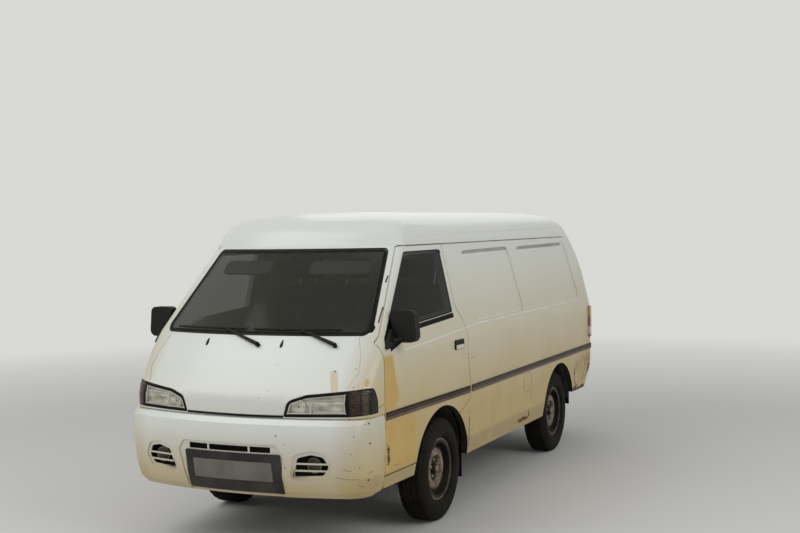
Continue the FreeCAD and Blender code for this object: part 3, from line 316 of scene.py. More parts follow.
def strip_colour(f):
    """A dark strip: black upper edge, brown middle, a groove drawn as a black line of painted shade, and a
    bronze lower edge.
    """
    faded = f.noise(3.0, 4.0, 0.6, f.stretched((1.0, 1.0, 9.0))).rise(0.3, 0.8)
    colour = f.mix("#372b25", "#4a3b31", faded)
    # The second black band, at 0.7745 to 0.7785, is painted shade in the groove.
    black = f.z.band(0.792, 0.806, 0.001).greater(f.z.band(0.7745, 0.7785, 0.0008))
    colour = f.mix(colour, "#0f0d0c", black)
    return f.mix(colour, f.mix("#5d4b3b", "#79644c", faded), f.z.band(*STRIP_BRONZE, 0.001))


def rub_strip(name):
    f = Finish(name, Specular_IOR_Level=0.45)
    f.set(Base_Color=strip_colour(f), Roughness=0.5 + f.noise(5.0) * 0.2)
    return f.relief(f.noise(300.0) * 0.3 + f.z.band(*STRIP_BRONZE, 0.001), 0.0012, 0.7)


def fitting_plastic(name):
    """Black moulded plastic, which takes the rub strip's colours at the strip's height on the doors."""
    f = moulded(name, "#0c0c0c", "#1f1d1b")
    colour = Wire(f, f.surface.inputs["Base Color"].links[0].from_socket)
    strip = f.z.band(*STRIP, 0.0005) * f.x.absolute().rise(0.780, 0.785)
    return f.set(Base_Color=f.mix(colour, strip_colour(f), strip))


def rubber(name, colour, dust, share):
    f = Finish(name, Specular_IOR_Level=0.15)
    dusty = f.noise(8.0, 6.0, 0.65).rise(0.75 - share, 0.9)
    f.set(Base_Color=f.mix(colour, dust, dusty * share), Roughness=0.75 + dusty * 0.15)
    return f.relief(f.noise(400.0, 2.0), 0.0004, 0.5)


def wheel_steel(name):
    """Pressed steel wheel: dark outer ring, pale rusty ring round the hub and a bright worn edge."""
    f = Finish(name, Specular_IOR_Level=0.4)
    radius = f.reach(front_wheel.y, front_wheel.z).lesser(f.reach(rear_wheel.y, rear_wheel.z))
    grime = f.noise(16.0, 6.0, 0.7)
    pale = radius.band(0.078, 0.128, 0.006) * grime.rise(0.28, 0.62)
    lip = radius.rise(0.183, 0.190) * grime.rise(0.25, 0.6)
    colour = f.mix("#151210", "#382f25", grime.rise(0.4, 0.8))
    colour = f.mix(colour, "#978a6f", pale.greater(lip * 0.8))
    rusty = f.noise(40.0, 5.0, 0.7).rise(0.56, 0.66) * (1.0 - radius.rise(0.10, 0.16))
    colour = f.mix(colour, "#6b4426", rusty * 0.8)
    f.set(Base_Color=colour, Roughness=0.5 + grime * 0.3, Metallic=0.15)
    return f.relief(grime + rusty, 0.0015, 0.6)


def spare_finish(name):
    """The spare wheel: rubber outside, dusty steel inside."""
    f = Finish(name, Specular_IOR_Level=0.35)
    centre = middle("spare_wheel")
    outer = (f.x - centre.x).hypotenuse(f.y - centre.y).rise(0.193, 0.196)
    dust = f.noise(9.0, 6.0, 0.7)
    inside = f.mix("#6d5b45", "#3a2c20", dust)
    f.set(Base_Color=f.mix(inside, f.mix("#1d1c1b", "#6b6354", dust), outer))
    f.set(Roughness=0.8 + dust * 0.1)
    return f.relief(dust, 0.002, 0.5)


def turn_lens(name):
    """Smoky lens: a ribbed reddish column and a pale one near the headlamp, black towards the corner."""
    f = Finish(name, Coat_Weight=0.2, Coat_Roughness=0.06, Specular_IOR_Level=0.2)
    across = f.x.absolute()
    squares = {"distance": "CHEBYCHEV"}
    blocks = f.node("ShaderNodeTexVoronoi", squares, Vector=f.place, Scale=70.0, Randomness=0.4)
    blocks = blocks.rise(0.25, 0.6)
    reddish = f.mix("#4a2c1b", "#120a08", blocks)
    pale = f.mix("#57462f", "#1f1710", blocks)
    colour = f.mix("#0f0b09", reddish, across.band(0.706, 0.752, 0.002))
    colour = f.mix(colour, pale, across.band(0.762, 0.786, 0.002))
    corner = across.band(0.817, 0.834, 0.002) * f.z.band(0.850, 0.895, 0.002) * blocks
    f.set(Base_Color=f.mix(colour, "#4a443a", corner), Roughness=0.2)
    return f.relief(blocks, 0.003, 0.6)


def tail_lens(name):
    """Red lens with an amber band and a clear band, ribbed across."""
    f = Finish(name, Coat_Weight=0.8, Coat_Roughness=0.08, Specular_IOR_Level=0.6)
    ribs = f.node("ShaderNodeTexWave", {"bands_direction": "Z"}, Vector=f.place, Scale=38.0)
    colour = f.mix("#7d1511", "#c0711d", f.z.band(1.045, 1.125, 0.001))
    colour = f.mix(colour, "#cfcbc0", f.z.band(0.885, 0.950, 0.001))
    f.set(Base_Color=f.mix(colour, "#2a1410", ribs * 0.25), Roughness=0.2)
    return f.relief(ribs, 0.002, 0.5)


def cloth_finish(name):
    """Woven seat cloth, dark grey with a fine check."""
    f = Finish(name, Specular_IOR_Level=0.2, Sheen_Weight=0.35, Sheen_Roughness=0.5)
    warp = f.node("ShaderNodeTexWave", {"bands_direction": "X"}, Vector=f.place, Scale=170.0)
    weft = f.node("ShaderNodeTexWave", {"bands_direction": "Z"}, Vector=f.place, Scale=170.0)
    weave = warp * weft
    worn = f.noise(5.0, 5.0).rise(0.4, 0.8)
    colour = f.mix(f.mix("#22242a", "#3b3d44", weave), "#57544c", worn * 0.5)
    f.set(Base_Color=colour, Roughness=0.92)
    return f.relief(weave, 0.0008, 0.8)


def bright(name, colour, rough, metal=1.0):
    """Bare or plated metal, dulled in patches."""
    f = Finish(name, Metallic=metal)
    dull = f.noise(20.0, 5.0)
    f.set(Base_Color=f.mix(colour, "#6f6a5e", dull.rise(0.5, 0.9) * 0.5))
    f.set(Roughness=rough + dull * 0.15)
    return f.relief(dull, 0.0005, 0.4)


def reflector(name):
    """The lamp's aged silver reflector behind its fluted lens, with painted highlights and dark patches that
    stand for its reflections.
    """
    f = Finish(name, Metallic=0.25)
    flutes = f.node("ShaderNodeTexWave", {"bands_direction": "X"}, Vector=f.place, Scale=30.0)
    facets = f.node("ShaderNodeTexVoronoi", Vector=f.stretched((13.0, 1.0, 30.0)), Scale=1.0)
    # Bright and dark patches: painted reflections of the silver.
    shade = f.noise(14.0, 4.0) * 0.5 + flutes * 0.15 + facets * 0.6
    colour = f.mix("#f3f1e6", "#4f4a3c", shade.rise(0.38, 0.90))
    f.set(Base_Color=f.mix(colour, "#c4bf92", f.noise(7.0) * 0.5), Roughness=0.3)
    return f.relief(flutes * 0.5 + facets, 0.003, 0.5)


# One finish for each material slot of the record, then those that only this scene has: its maker and what the
# maker is given.
FINISHES = {
    "body_white": (paint, body_cream),
    "bumper_white": (paint, bumper_cream),
    "glass": (tinted_glass,),
    "black_plastic": (fitting_plastic,),
    "rub_strip": (rub_strip,),
    "rubber_black": (rubber, "#0e0e0e", "#423d33", 0.32),
    "lamp_clear": (clear_glass, "#d9d7c8", 0.16),
    "lamp_amber": (turn_lens,),
    "lamp_red": (tail_lens,),
    "floor_grey": (moulded, "#3b3c3c", "#5a564d", 220.0, 0.75),
    "underseal": (painted_steel, "#1a1918", "#4b4335", 0.5),
    "chassis_black": (painted_steel, "#1f1e1d", "#57493a", 0.7),
    "cast_block": (painted_steel, "#4a4743", "#2b2622", 0.6, 0.4),
    "cast_alloy": (painted_steel, "#76726a", "#3c3731", 0.4, 0.6),
    "tank_black": (painted_steel, "#222222", "#5e5241", 0.4),
    "exhaust_steel": (painted_steel, "#6a5a48", "#3d2c1f", 0.9, 0.5),
    "tyre_rubber": (rubber, "#0b0a09", "#4f4737", 0.36),
    "rim_steel": (wheel_steel,),
    "dash_plastic": (moulded, "#34363a", "#4a4b4c", 500.0),
    "wheel_plastic": (moulded, "#1b1b1c", "#3a3835", 700.0, 0.4),
    "seat_fabric": (cloth_finish,),
    "spare": (spare_finish,),
    "reflector": (reflector,),
    "chrome": (bright, "#c9c7c0", 0.18),
    "steel_bare": (bright, "#8f8778", 0.45),
    "mirror_glass": (bright, "#c6ccd0", 0.05),
    "plate": (moulded, "#77756c", "#625f56", 400.0, 0.45),
    "holder": (moulded, "#2c2a27", "#4b4841", 400.0, 0.6),
    "gap": (moulded, "#0b0b0a", "#1c1b19", 500.0, 0.8),
    "trim_card": (moulded, "#4b4c4e", "#66645f", 350.0, 0.8),
    "lens_fog": (moulded, "#3b342e", "#5b5148", 90.0, 0.25),
    "pale_rim": (moulded, "#dddbd0", "#a8a493", 200.0, 0.3),
    # Painted shade and painted highlight for the beads along pressed edges.
    "press_shade": (moulded, "#a3a79b", "#94978a", 200.0, 0.5),
    "press_light": (moulded, "#e4e4da", "#d5d2c2", 200.0, 0.4),
    "scratch": (moulded, "#5f5540", "#857758", 300.0, 0.7),
    "chip": (moulded, "#2c241d", "#6b4a28", 200.0, 0.8),
}
finishes = {name: make(name, *given).material for name, (make, *given) in FINISHES.items()}
record_slots = {material["slot"] for material in frame["record"]["materials"]}
for node_name, node in nodes.items():
    for slot in node.material_slots:
        base = slot.material.name.split(".")[0]
        slot.material = finishes["spare" if node_name == "spare_wheel" else base]


def ease_shading(names, angle):
    """Rounds the shading of a node's bands where they meet at less than an angle."""
    limit = math.cos(math.radians(angle))
    for name in names:
        data = nodes[name].data
        places = [tuple(round(c, 5) for c in vertex.co) for vertex in data.vertices]
        meeting = {}
        for face in data.polygons:
            for index in face.vertices:
                meeting.setdefault(places[index], []).append(face)
        normals = []
        for face in data.polygons:
            for index in face.vertices:
                near = [other for other in meeting[places[index]] if other.normal.dot(face.normal) > limit]
                normals.append(sum((other.normal * other.area for other in near), Vector()).normalized())
        data.shade_smooth()
        data.normals_split_custom_set(normals)


ease_shading(
    ("front_bumper", "roof_panel", "front_panel", "rear_bumper", "tailgate_panel", "windscreen_frame"), 26.0
)


# Meshes are built from grids of points in the part's frame.
class Piece:
    def __init__(self):
        self.mesh = bmesh.new()

    def grid(self, rows, loop_rows=False, loop_points=False, caps=False, finish=0):
        """A skin over rows of points, which may close along the rows, across them, and at its ends."""
        made = [[self.mesh.verts.new(point) for point in row] for row in rows]
        for index in range(len(made) if loop_rows else len(made) - 1):
            near, far = made[index], made[(index + 1) % len(made)]
            for j in range(len(near) if loop_points else len(near) - 1):
                k = (j + 1) % len(near)
                self.mesh.faces.new((near[j], near[k], far[k], far[j])).material_index = finish
        if caps:
            self.mesh.faces.new(reversed(made[0])).material_index = finish
            self.mesh.faces.new(made[-1]).material_index = finish
        return self

    def place(self, name, body, *slots, smooth=35.0):
        """Makes the mesh an object that rides on a body; edges sharper than the smooth angle stay sharp."""
        bmesh.ops.remove_doubles(self.mesh, verts=self.mesh.verts, dist=0.00002)
        bmesh.ops.recalc_face_normals(self.mesh, faces=self.mesh.faces)
        data = bpy.data.meshes.new(name)
        self.mesh.to_mesh(data)
        self.mesh.free()
        data.shade_smooth()
        data.set_sharp_from_angle(angle=math.radians(smooth))
        made = bpy.data.objects.new(name, data)
        bpy.context.scene.collection.objects.link(made)
        for slot_name in slots:
            data.materials.append(finishes[slot_name])
        slots[0] in record_slots
        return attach(made, body)


# How far from the origin the lines start that meet a surface lengthwise and sideways.
AHEAD, ASIDE = 4.0, 2.0


class Surface:
    """The outside of some CAD nodes, met by straight lines from an end or from a side."""

    def __init__(self, *names):
        points, faces = [], []
        for name in names:
            data = nodes[name].data
            start = len(points)
            points += [vertex.co.copy() for vertex in data.vertices]
            faces += [[start + index for index in face.vertices] for face in data.polygons]
        self.names = names
        self.tree = BVHTree.FromPolygons(points, faces)

    def meet(self, start, direction):
        point, normal, _, _ = self.tree.ray_cast(start, direction)
        if point is None:
            raise RuntimeError(f"nothing of {self.names} at {tuple(start)}")
        return point, -normal if normal.dot(direction) > 0 else normal

    def near(self, x, distance, z):
        """The nearest spot to X, a distance behind the front axle and a height, in millimetres."""
        point, normal, _, _ = self.tree.find_nearest(Vector(place_of(x, distance, z)))
        return point, normal

    def front(self, x, z):
        return self.meet(Vector((x, -AHEAD, z)), Vector((0, 1, 0)))

    def back(self, x, z):
        return self.meet(Vector((x, AHEAD, z)), Vector((0, -1, 0)))

    def left(self, y, z):
        return self.meet(Vector((ASIDE, y, z)), Vector((-1, 0, 0)))

    def right(self, y, z):
        return self.meet(Vector((-ASIDE, y, z)), Vector((1, 0, 0)))


def rounded(outline, steps=5):
    """Points round a closed outline of (u, v, corner radius) in millimetres, with its corners as arcs."""
    points = []
    for index, (u, v, radius) in enumerate(outline):
        corner = Vector((u, v)) * MM
        to_back = (Vector(outline[index - 1][:2]) * MM - corner).normalized()
        to_next = (Vector(outline[(index + 1) % len(outline)][:2]) * MM - corner).normalized()
        if radius <= 0:
            points.append(corner)
            continue
        half_angle = to_back.angle(to_next) / 2
        centre = corner + (to_back + to_next).normalized() * (radius * MM / math.sin(half_angle))
        start = corner + to_back * (radius * MM / math.tan(half_angle)) - centre
        end = corner + to_next * (radius * MM / math.tan(half_angle)) - centre
        turn = start.angle_signed(end)
        for step in range(steps + 1):
            points.append(centre + Matrix.Rotation(-turn * step / steps, 2) @ start)
    return points


def divided(points, spacing, closed=True):
    """The same line with no run longer than the spacing."""
    made = []
    for start, end in zip(points, points[1:] + points[:1] if closed else points[1:]):
        count = max(1, math.ceil((end - start).length / spacing))
        made += [start.lerp(end, index / count) for index in range(count)]
    return made if closed else made + [points[-1]]


def scaled(points, factor):
    """A closed line drawn in or out from its middle."""
    centre = sum(points, Vector((0, 0))) / len(points)
    return [centre + (point - centre) * factor for point in points]


def inset(points, distance):
    """A closed line moved inwards."""
    centre = sum(points, Vector((0, 0))) / len(points)
    moved = []
    for index, point in enumerate(points):
        along = (points[(index + 1) % len(points)] - points[index - 1]).normalized()
        across = Vector((-along.y, along.x))
        moved.append(point + across * (distance if across.dot(centre - point) > 0 else -distance))
    return moved


def mirrored(outline):
    """An outline of the left side, for the right side."""
    return [(-u, v, radius) for u, v, radius in reversed(outline)]


# The forms below take their points in metres, and their widths, heights, depths and radii in millimetres.
DOME_STEPS = 6
SMALLEST_RADIUS = 0.05


def dome(spot, across, half, height, sunk):
    """A half oval of points over a spot, sunk a little below the skin."""
    point, normal = spot
    turns = [math.pi * step / DOME_STEPS for step in range(DOME_STEPS + 1)]
    return [
        point + across * (half * MM * math.cos(turn)) + normal * ((height * math.sin(turn) - sunk) * MM)
        for turn in turns
    ]


def ribbon(piece, spots, width, height, closed=True, finish=0):
    """A low rounded bead along (point, normal) spots on a surface."""
    sunk = min(0.6, height * 0.4)
    rows = []
    count = len(spots)
    for index, (point, normal) in enumerate(spots):
        back = spots[index - 1 if closed or index else 0][0]
        ahead = spots[(index + 1) % count if closed or index + 1 < count else index][0]
        across = (ahead - back).cross(normal).normalized()
        rows.append(dome((point, normal), across, width / 2, height, sunk))
    return piece.grid(rows, loop_rows=closed, loop_points=True, caps=not closed, finish=finish)


def bead(piece, meet, line, width, height, spacing, finish=0):
    """An open ribbon where a surface meets a line, with its spots no further apart than the spacing."""
    spots = [meet(u, v) for u, v in divided(line, spacing * MM, closed=False)]
    ribbon(piece, spots, width, height, closed=False, finish=finish)


def lowered(spots, depth):
    """The same spots below the skin."""
    return [(point - normal * (depth * MM), normal) for point, normal in spots]


def patch(piece, points, meet, depths):
    """A sheet inside a closed line: rings shrink to its middle at (share, depth below the skin) steps."""
    rows = []
    for share, depth in depths:
        spots = [meet(u, v) for u, v in scaled(points, share)]
        rows.append([point for point, _ in lowered(spots, depth)])
    return piece.grid(rows, loop_points=True)


def ring(centre, axis, radius, steps):
    """Points of a circle about an axis."""
    side = axis.orthogonal().normalized()
    other = axis.cross(side).normalized()
    turns = [2 * math.pi * index / steps for index in range(steps)]
    return [centre + (side * math.cos(turn) + other * math.sin(turn)) * (radius * MM) for turn in turns]


def turned(piece, centre, axis, profile, steps=32, finish=0, caps=True):
    """A turned form: profile holds (distance along the axis, radius)."""
    axis = axis.normalized()
    rows = []
    for along, radius in profile:
        rows.append(ring(centre + axis * (along * MM), axis, max(radius, SMALLEST_RADIUS), steps))
    return piece.grid(rows, loop_points=True, caps=caps, finish=finish)


def tube(piece, points, radius, steps=12, finish=0):
    """A round bar along a line of points."""
    rows = []
    for index, point in enumerate(points):
        along = points[min(index + 1, len(points) - 1)] - points[max(index - 1, 0)]
        rows.append(ring(point, along.normalized(), radius, steps))
    return piece.grid(rows, loop_points=True, caps=True, finish=finish)


def slab(piece, outline, place, low, high, edge, finish=0):
    """A plate over an outline, with eased edges; place turns (u, v, height), in metres, into a point."""
    points = rounded(outline)
    width = max(abs(points[0].x - points[len(points) // 2].x), 20 * MM)
    rows = []
    for eased, height in ((edge, low), (0, low + edge), (0, high - edge), (edge, high)):
        rows.append([place(u, v, height * MM) for u, v in scaled(points, 1 - eased * MM / width)])
    return piece.grid(rows, loop_points=True, caps=True, finish=finish)


# Each side's name and the sign of its X.
SIDES = (("left", 1), ("right", -1))
nose = Surface("front_panel", "windscreen_frame", "headlamps", "turn_lamps")
screen = Surface("windscreen", "windscreen_frame")
bumper = Surface("front_bumper")
SHARED_SKINS = ("front_panel", "windscreen_frame", "roof_panel", "turn_lamps")
flanks = {
    side: Surface(f"door_{side}_panel", f"door_{side}_glass", f"side_panel_{side}", *SHARED_SKINS, *more)
    for side, more in (("left", ()), ("right", ("sliding_door",)))
}


def flank(side):
    """What meets a side of the body at a Y and a height."""
    return getattr(flanks[side], side)


def side_bead(piece, side, route, width, height, finish=0, spacing=40):
    """A bead along the body's side on a line of (behind the front axle, height) in millimetres."""
    line = [Vector((behind(u), v * MM)) for u, v in route]
    bead(piece, flank(side), line, width, height, spacing, finish)


def nose_bead(piece, route, width, height):
    """A bead on the nose along a line of (across, height) in millimetres."""
    bead(piece, nose.front, [Vector((u * MM, v * MM)) for u, v in route], width, height, 20)


# Outlines repeat those of the source, as (across, height, corner radius) in millimetres. Those on a side
# count from the front axle instead, and the turn lamp's end has no radii.
WINDSCREEN = ((-717, 1240, 45), (717, 1240, 45), (603, 1731, 35), (-603, 1731, 35))
DOOR_GLASS = (
    (-758, 1163, 8), (-300, 1274, 0), (250, 1303, 20), (266, 1707, 30), (-256, 1705, 40), (-738, 1222, 10)
)
TURN_LAMP_END = (
    (-922, 953), (-912, 941), (-904, 922), (-897, 905), (-890, 888), (-886, 868), (-885, 845), (-886, 823)
)
HEADLAMP = ((326, 806, 8), (697, 811, 0), (689, 949, 0), (458, 927, 90), (352, 893, 50))
TAILGATE_GLASS = ((-610, 1235, 60), (610, 1235, 60), (510, 1690, 60), (-510, 1690, 60))
FOG_SLOT = ((401, 478, 10), (570, 486, 25), (606, 536, 25), (578, 592, 25), (509, 606, 60), (427, 584, 25))
# A window's rubber lies this much outside its glass, as a share of its size.
SEAL_REACH, DOOR_SEAL_REACH = 1.004, 1.006
FORWARD = Vector((0, -1, 0))


def side_outline(outline):
    """An outline that counts from the front axle, as Y and Z."""
    return [(front_wheel.y / MM + u, v, radius) for u, v, radius in outline]


def make_screen_seals():
    """The windscreen's rubber, its dark inner border and the tailgate window's rubber."""
    seal = Piece()
    edge = divided(rounded(WINDSCREEN), 30 * MM)
    ribbon(seal, [screen.front(u, v) for u, v in scaled(edge, SEAL_REACH)], 26, 5)
    ribbon(seal, [screen.front(u, v) for u, v in inset(edge, 14 * MM)], 18, 1.2)
    seal.place("windscreen_seal", "shell", "rubber_black")
    rear = Surface("tailgate_panel", "tailgate_glass")
    seal = Piece()
    edge = divided(rounded(TAILGATE_GLASS), 30 * MM)
    ribbon(seal, [rear.back(u, v) for u, v in scaled(edge, SEAL_REACH)], 24, 4)
    seal.place("tailgate_glass_seal", "tailgate", "rubber_black")


def make_door_seals():
    """Rubber round each cab door window, double along the belt."""
    for side in flanks:
        seal = Piece()
        edge = divided(rounded(side_outline(DOOR_GLASS)), 25 * MM)
        ribbon(seal, [flank(side)(u, v) for u, v in scaled(edge, DOOR_SEAL_REACH)], 17, 3.5)
        for drop in (2, 17):
            belt = [(u, v - drop) for u, v in ((-700, 1166), (-300, 1262), (250, 1291))]
            side_bead(seal, side, belt, 16, 4, spacing=25)
        seal.place(f"door_{side}_glass_seal", f"door_{side}", "rubber_black")


def make_lamps():
    """Each headlamp's rubber edge, pale rim, lens and reflector with its bowl, and the turn lamp's edge."""
    seal, body, lens = Piece(), Piece(), Piece()
    lamp = Surface("headlamps")
    for side, sign in SIDES:

        def on_nose(route):
            return [nose.front(sign * u * MM, v * MM) for u, v in route]

        edge = divided(rounded(HEADLAMP if sign > 0 else mirrored(HEADLAMP)), 18 * MM)
        inner = inset(edge, 6 * MM)
        patch(lens, inner, lamp.front, ((1.0, 3), (0.97, 0.5), (0.7, 0.3), (0.35, 0.3), (0.02, 0.3)))
        patch(body, inner, lamp.front, ((0.99, 3), (0.96, 16), (0.85, 21), (0.5, 22), (0.02, 22)))
        bowl_spot, bowl_normal = lamp.front(sign * 416 * MM, 862 * MM)
        bowl = ((-6, 42), (-7, 39), (-14, 31), (-19, 20), (-21, 8), (-21, 0))
        turned(body, bowl_spot, bowl_normal, bowl, 28)
        turned(body, bowl_spot, bowl_normal, ((-21, 8), (-9, 8), (-6, 6), (-5, 0)), 16, finish=1)
        for across, half, top in ((483, 5, 908), (686, 7, 938)):
            bar = [lamp.front(sign * across * MM, z * MM) for z in (822, 850, 880, top)]
            ribbon(body, lowered(bar, 8), 2 * half, 8, closed=False, finish=2)
        for z in (832, 905):
            ledge = [lamp.front(sign * across * MM, z * MM) for across in (500, 550, 600, 650, 668)]
            ribbon(body, lowered(ledge, 16), 10, 9, closed=False, finish=2)
        ribbon(seal, [nose.front(u, v) for u, v in inset(edge, 7 * MM)], 18, 3.5)
        ribbon(seal, [nose.front(u, v) for u, v in inset(edge, 18 * MM)], 5, 2.2, finish=1)
        corner = [flank(side)(behind(u), v * MM) for u, v in TURN_LAMP_END]
        top = on_nose(((692, 947), (740, 952), (775, 955), (790, 955)))
        bottom = on_nose(((790, 820), (740, 817), (699, 815)))
        ribbon(seal, top + corner + bottom, 9, 2.5, closed=False)
        ribbon(seal, on_nose(((698, 815), (695, 880), (691, 946))), 6, 2.5, closed=False)
    body.place("headlamp_reflectors", "shell", "reflector", "lens_fog", "pale_rim")
    seal.place("lamp_seals", "shell", "rubber_black", "pale_rim")
    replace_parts(lens.place("headlamp_lenses", "shell", "lamp_clear"), "headlamps")


# Marks in the paint by the body that carries them: X, behind the front axle and height in millimetres, and a
# chip's size.
CHIPS = {
    "shell": (
        (577, -966, 1052, 6), (689, -924, 1065, 4), (706, -993, 970, 4), (219, -1110, 945, 3),
        (171, -1131, 906, 3), (223, -1007, 1082, 3), (698, -1039, 797, 4), (783, -1012, 769, 4),
        (310, -1187, 707, 5), (745, -1076, 707, 4), (358, -1182, 661, 3), (730, -1087, 612, 4),
        (355, -1169, 527, 4), (761, -1045, 529, 4), (790, -804, 405, 4), (842, 520, 1440, 3),
        (842, 2880, 940, 5), (842, 2700, 1010, 4),
    ),
    "door_left": ((806, -787, 820, 4), (803, -784, 616, 4), (807, -754, 709, 4), (816, -300, 1225, 3)),
}
SCRATCHES = {
    "shell": (
        ((745, -1037, 433), (756, -1022, 423), (766, -1005, 417)),
        ((785, -996, 487), (791, -977, 492), (796, -949, 498)),
        ((684, -1096, 525), (714, -1082, 515), (728, -1074, 520)),
        ((636, -1102, 478), (674, -1091, 473), (724, -1067, 466), (758, -1037, 468)),
        ((842, 412, 979), (842, 480, 981), (842, 540, 980)),
        ((842, 1675, 738), (842, 1700, 680), (840, 1704, 600), (838, 1692, 560), (838, 1640, 528)),
    ),
    "door_left": (((805, -700, 480), (806, -600, 473)),),
}
PILLAR_CHIPS = (
    ((667, -438, 1569), (668, -446, 1561), (669, -470, 1538), (670, -478, 1530)),
    ((713, -610, 1393), (717, -640, 1364), (721, -670, 1335), (725, -698, 1307)),
)


def make_nose_details():
    """Washer jets, the seams beside the bonnet and the edge over the bumper."""
    jets = Piece()
    for across in (207, -313):
        rows = []
        for rise, width, height in ((0, 1, 0), (4, 7, 3), (14, 10, 6), (26, 7, 8), (38, 3.5, 6), (46, 1, 0)):
            spot = nose.front(across * MM, (1172 + rise) * MM)
            rows.append(dome(spot, Vector((1, 0, 0)), width, height, 0.4))
        jets.grid(rows, loop_points=True, caps=True)
    jets.place("washer_jets", "shell", "black_plastic")
    seams = Piece()
    for sign, width in ((1, 1.5), (-1, 3)):
        route = ((651, 1232), (695, 1129), (711, 1042), (672, 958))
        nose_bead(seams, [(sign * u, v) for u, v in route], width, 0.4)
    nose_bead(seams, ((-322, 807), (-125, 806), (120, 805), (324, 806)), 15, 3)
    for side in flanks:
        side_bead(seams, side, ((-888, 838), (-850, 848), (-812, 853)), 3.5, 0.6, spacing=15)
    seams.place("bonnet_seams", "shell", "gap")


def on_skin(carrier, route):
    """Spots every 8 mm along a route of (X, behind the front axle, height) in millimetres."""
    return [carrier.near(*place) for place in divided([Vector(place) for place in route], 8.0, closed=False)]


def make_marks():
    """Chips and scratches in the paint of the front and the left side."""
    carriers = {
        "shell": Surface("front_panel", "front_bumper", "side_panel_left", "windscreen_frame"),
        "door_left": Surface("door_left_panel"),
    }
    for body, carrier in carriers.items():
        chips = Piece()
        for *place, size in CHIPS[body]:
            point, normal = carrier.near(*place)
            turned(chips, point, normal, ((-0.3, size), (0.15, size * 0.9), (0.2, 0)), 9)
        for route in SCRATCHES[body]:
            ribbon(chips, on_skin(carrier, route), 3, 0.6, closed=False, finish=1)
        if body == "shell":
            pillar = Surface("windscreen_frame")
            for route in PILLAR_CHIPS:
                ribbon(chips, on_skin(pillar, route), 10, 1.6, closed=False)
        chips.place(f"paint_marks_{body}", body, "chip", "scratch")


# The bumper leans back above this height, and the plate stays upright.
PLATE_TOP = 0.596


def make_plate():
    """The blank plate on its holder."""
    def on_bumper(u, v, height):
        point, _ = bumper.front(u, min(v, PLATE_TOP))
        return Vector((u, point.y, v)) + FORWARD * height

    for name, finish, edge_line, steps in (
        ("plate_holder", "holder", ((-300, 366, 12), (332, 366, 12), (332, 600, 12), (-300, 600, 12)),
         ((1.0, -2), (1.0, 8), (0.99, 9), (0.9, 9), (0.6, 9), (0.3, 9), (0.02, 9))),
        ("blank_plate", "plate", ((-244, 440, 8), (276, 440, 8), (276, 552, 8), (-244, 552, 8)),
         ((1.0, 8), (1.0, 12), (0.99, 12.6), (0.975, 11.6), (0.6, 11.6), (0.3, 11.6), (0.02, 11.6))),
    ):
        plate = Piece()
        points = divided(rounded(edge_line), 30 * MM)
        rows = [[on_bumper(u, v, height * MM) for u, v in scaled(points, share)] for share, height in steps]
        plate.grid(rows, loop_points=True)
        plate.place(name, "shell", finish)


def make_bumper_details():
    """The fog lamps, the dark backs of the slots and the screws at the bumper's ends; the black backs are
    painted shade inside the slots and the intake.
    """
    dark, lamps = Piece(), Piece()
    for sign in (1, -1):
        edge = divided(rounded(FOG_SLOT if sign > 0 else mirrored(FOG_SLOT)), 20 * MM)
        centre = sum(edge, Vector((0, 0))) / len(edge)
        skin, _ = bumper.front(centre.x, 620 * MM)
        # Black pockets round the fog lamps: painted shade inside the slots.
        rows = []
        for share, depth in ((1.05, 20), (1.03, 55), (0.5, 60), (0.02, 60)):
            row = []
            for u, v in scaled(edge, share):
                reach = abs(u) - abs(centre.x)
                row.append(Vector((u, skin.y + (depth + reach / MM * 0.28) * MM, v)))
            rows.append(row)
        dark.grid(rows, loop_points=True)
        lamp_centre = Vector((sign * 512 * MM, skin.y + 52 * MM, 540 * MM))
        turned(lamps, lamp_centre, FORWARD, ((0, 44), (12, 46), (16, 44), (15, 41)), finish=1)
        turned(lamps, lamp_centre, FORWARD, ((14, 42), (19, 32), (22, 18), (23, 0)))
        y = behind(-985)
        for height in (771, 660, 453):
            point, outward = bumper.meet(Vector((sign * ASIDE, y, height * MM)), Vector((-sign, 0, 0)))
            turned(lamps, point, outward, ((-0.5, 6), (1.5, 6), (2.2, 4), (2.0, 0)), 12, finish=2)
    # A black sheet behind the intake over the plate: painted shade in the opening.
    back_y = bumper.front(0.0, 660 * MM)[0].y + 30 * MM
    corners = ((-290, 590), (290, 590), (290, 652), (-290, 652))
    sheet = [Vector((u * MM, back_y + abs(u) * 0.06 * MM, v * MM)) for u, v in corners]
    dark.grid([sheet] * 2, caps=True, loop_points=True)
    dark.place("bumper_cavities", "shell", "gap")
    lamps.place("fog_lamps", "shell", "lens_fog", "steel_bare", "black_plastic")


def make_handle(side):
    """The pale lower flap of a cab door's handle, and the lock under it."""
    fittings = Surface(f"door_{side}_fittings")
    handle = Piece()
    flap = side_outline(((190, 1064, 6), (307, 1064, 6), (307, 1090, 6), (190, 1090, 6)))
    edge = divided(rounded(flap), 20 * MM)
    patch(handle, edge, getattr(fittings, side), ((1.0, 1), (1.0, -2.5), (0.9, -4), (0.02, -4)))
    lock, outward = flank(side)(behind(330), 1028 * MM)
    barrel = ((-1, 11), (2, 11), (3.5, 9), (3.5, 4), (1.5, 3), (1.5, 0))
    turned(handle, lock, outward, barrel, 20, finish=1)
    handle.place(f"door_{side}_handle_flap", f"door_{side}", "bumper_white", "chrome")


def make_mirror_glass(side, sign):
    glass = Piece()
    back_y = behind(-578)
    head = ((815, 1205, 22), (928, 1205, 28), (915, 1362, 26), (780, 1362, 22))
    outline = head if sign > 0 else mirrored(head)
    slab(glass, outline, lambda u, v, h: Vector((u, back_y + h, v)), -2, 2, 1)
    glass.place(f"door_{side}_mirror_glass", f"door_{side}", "mirror_glass")


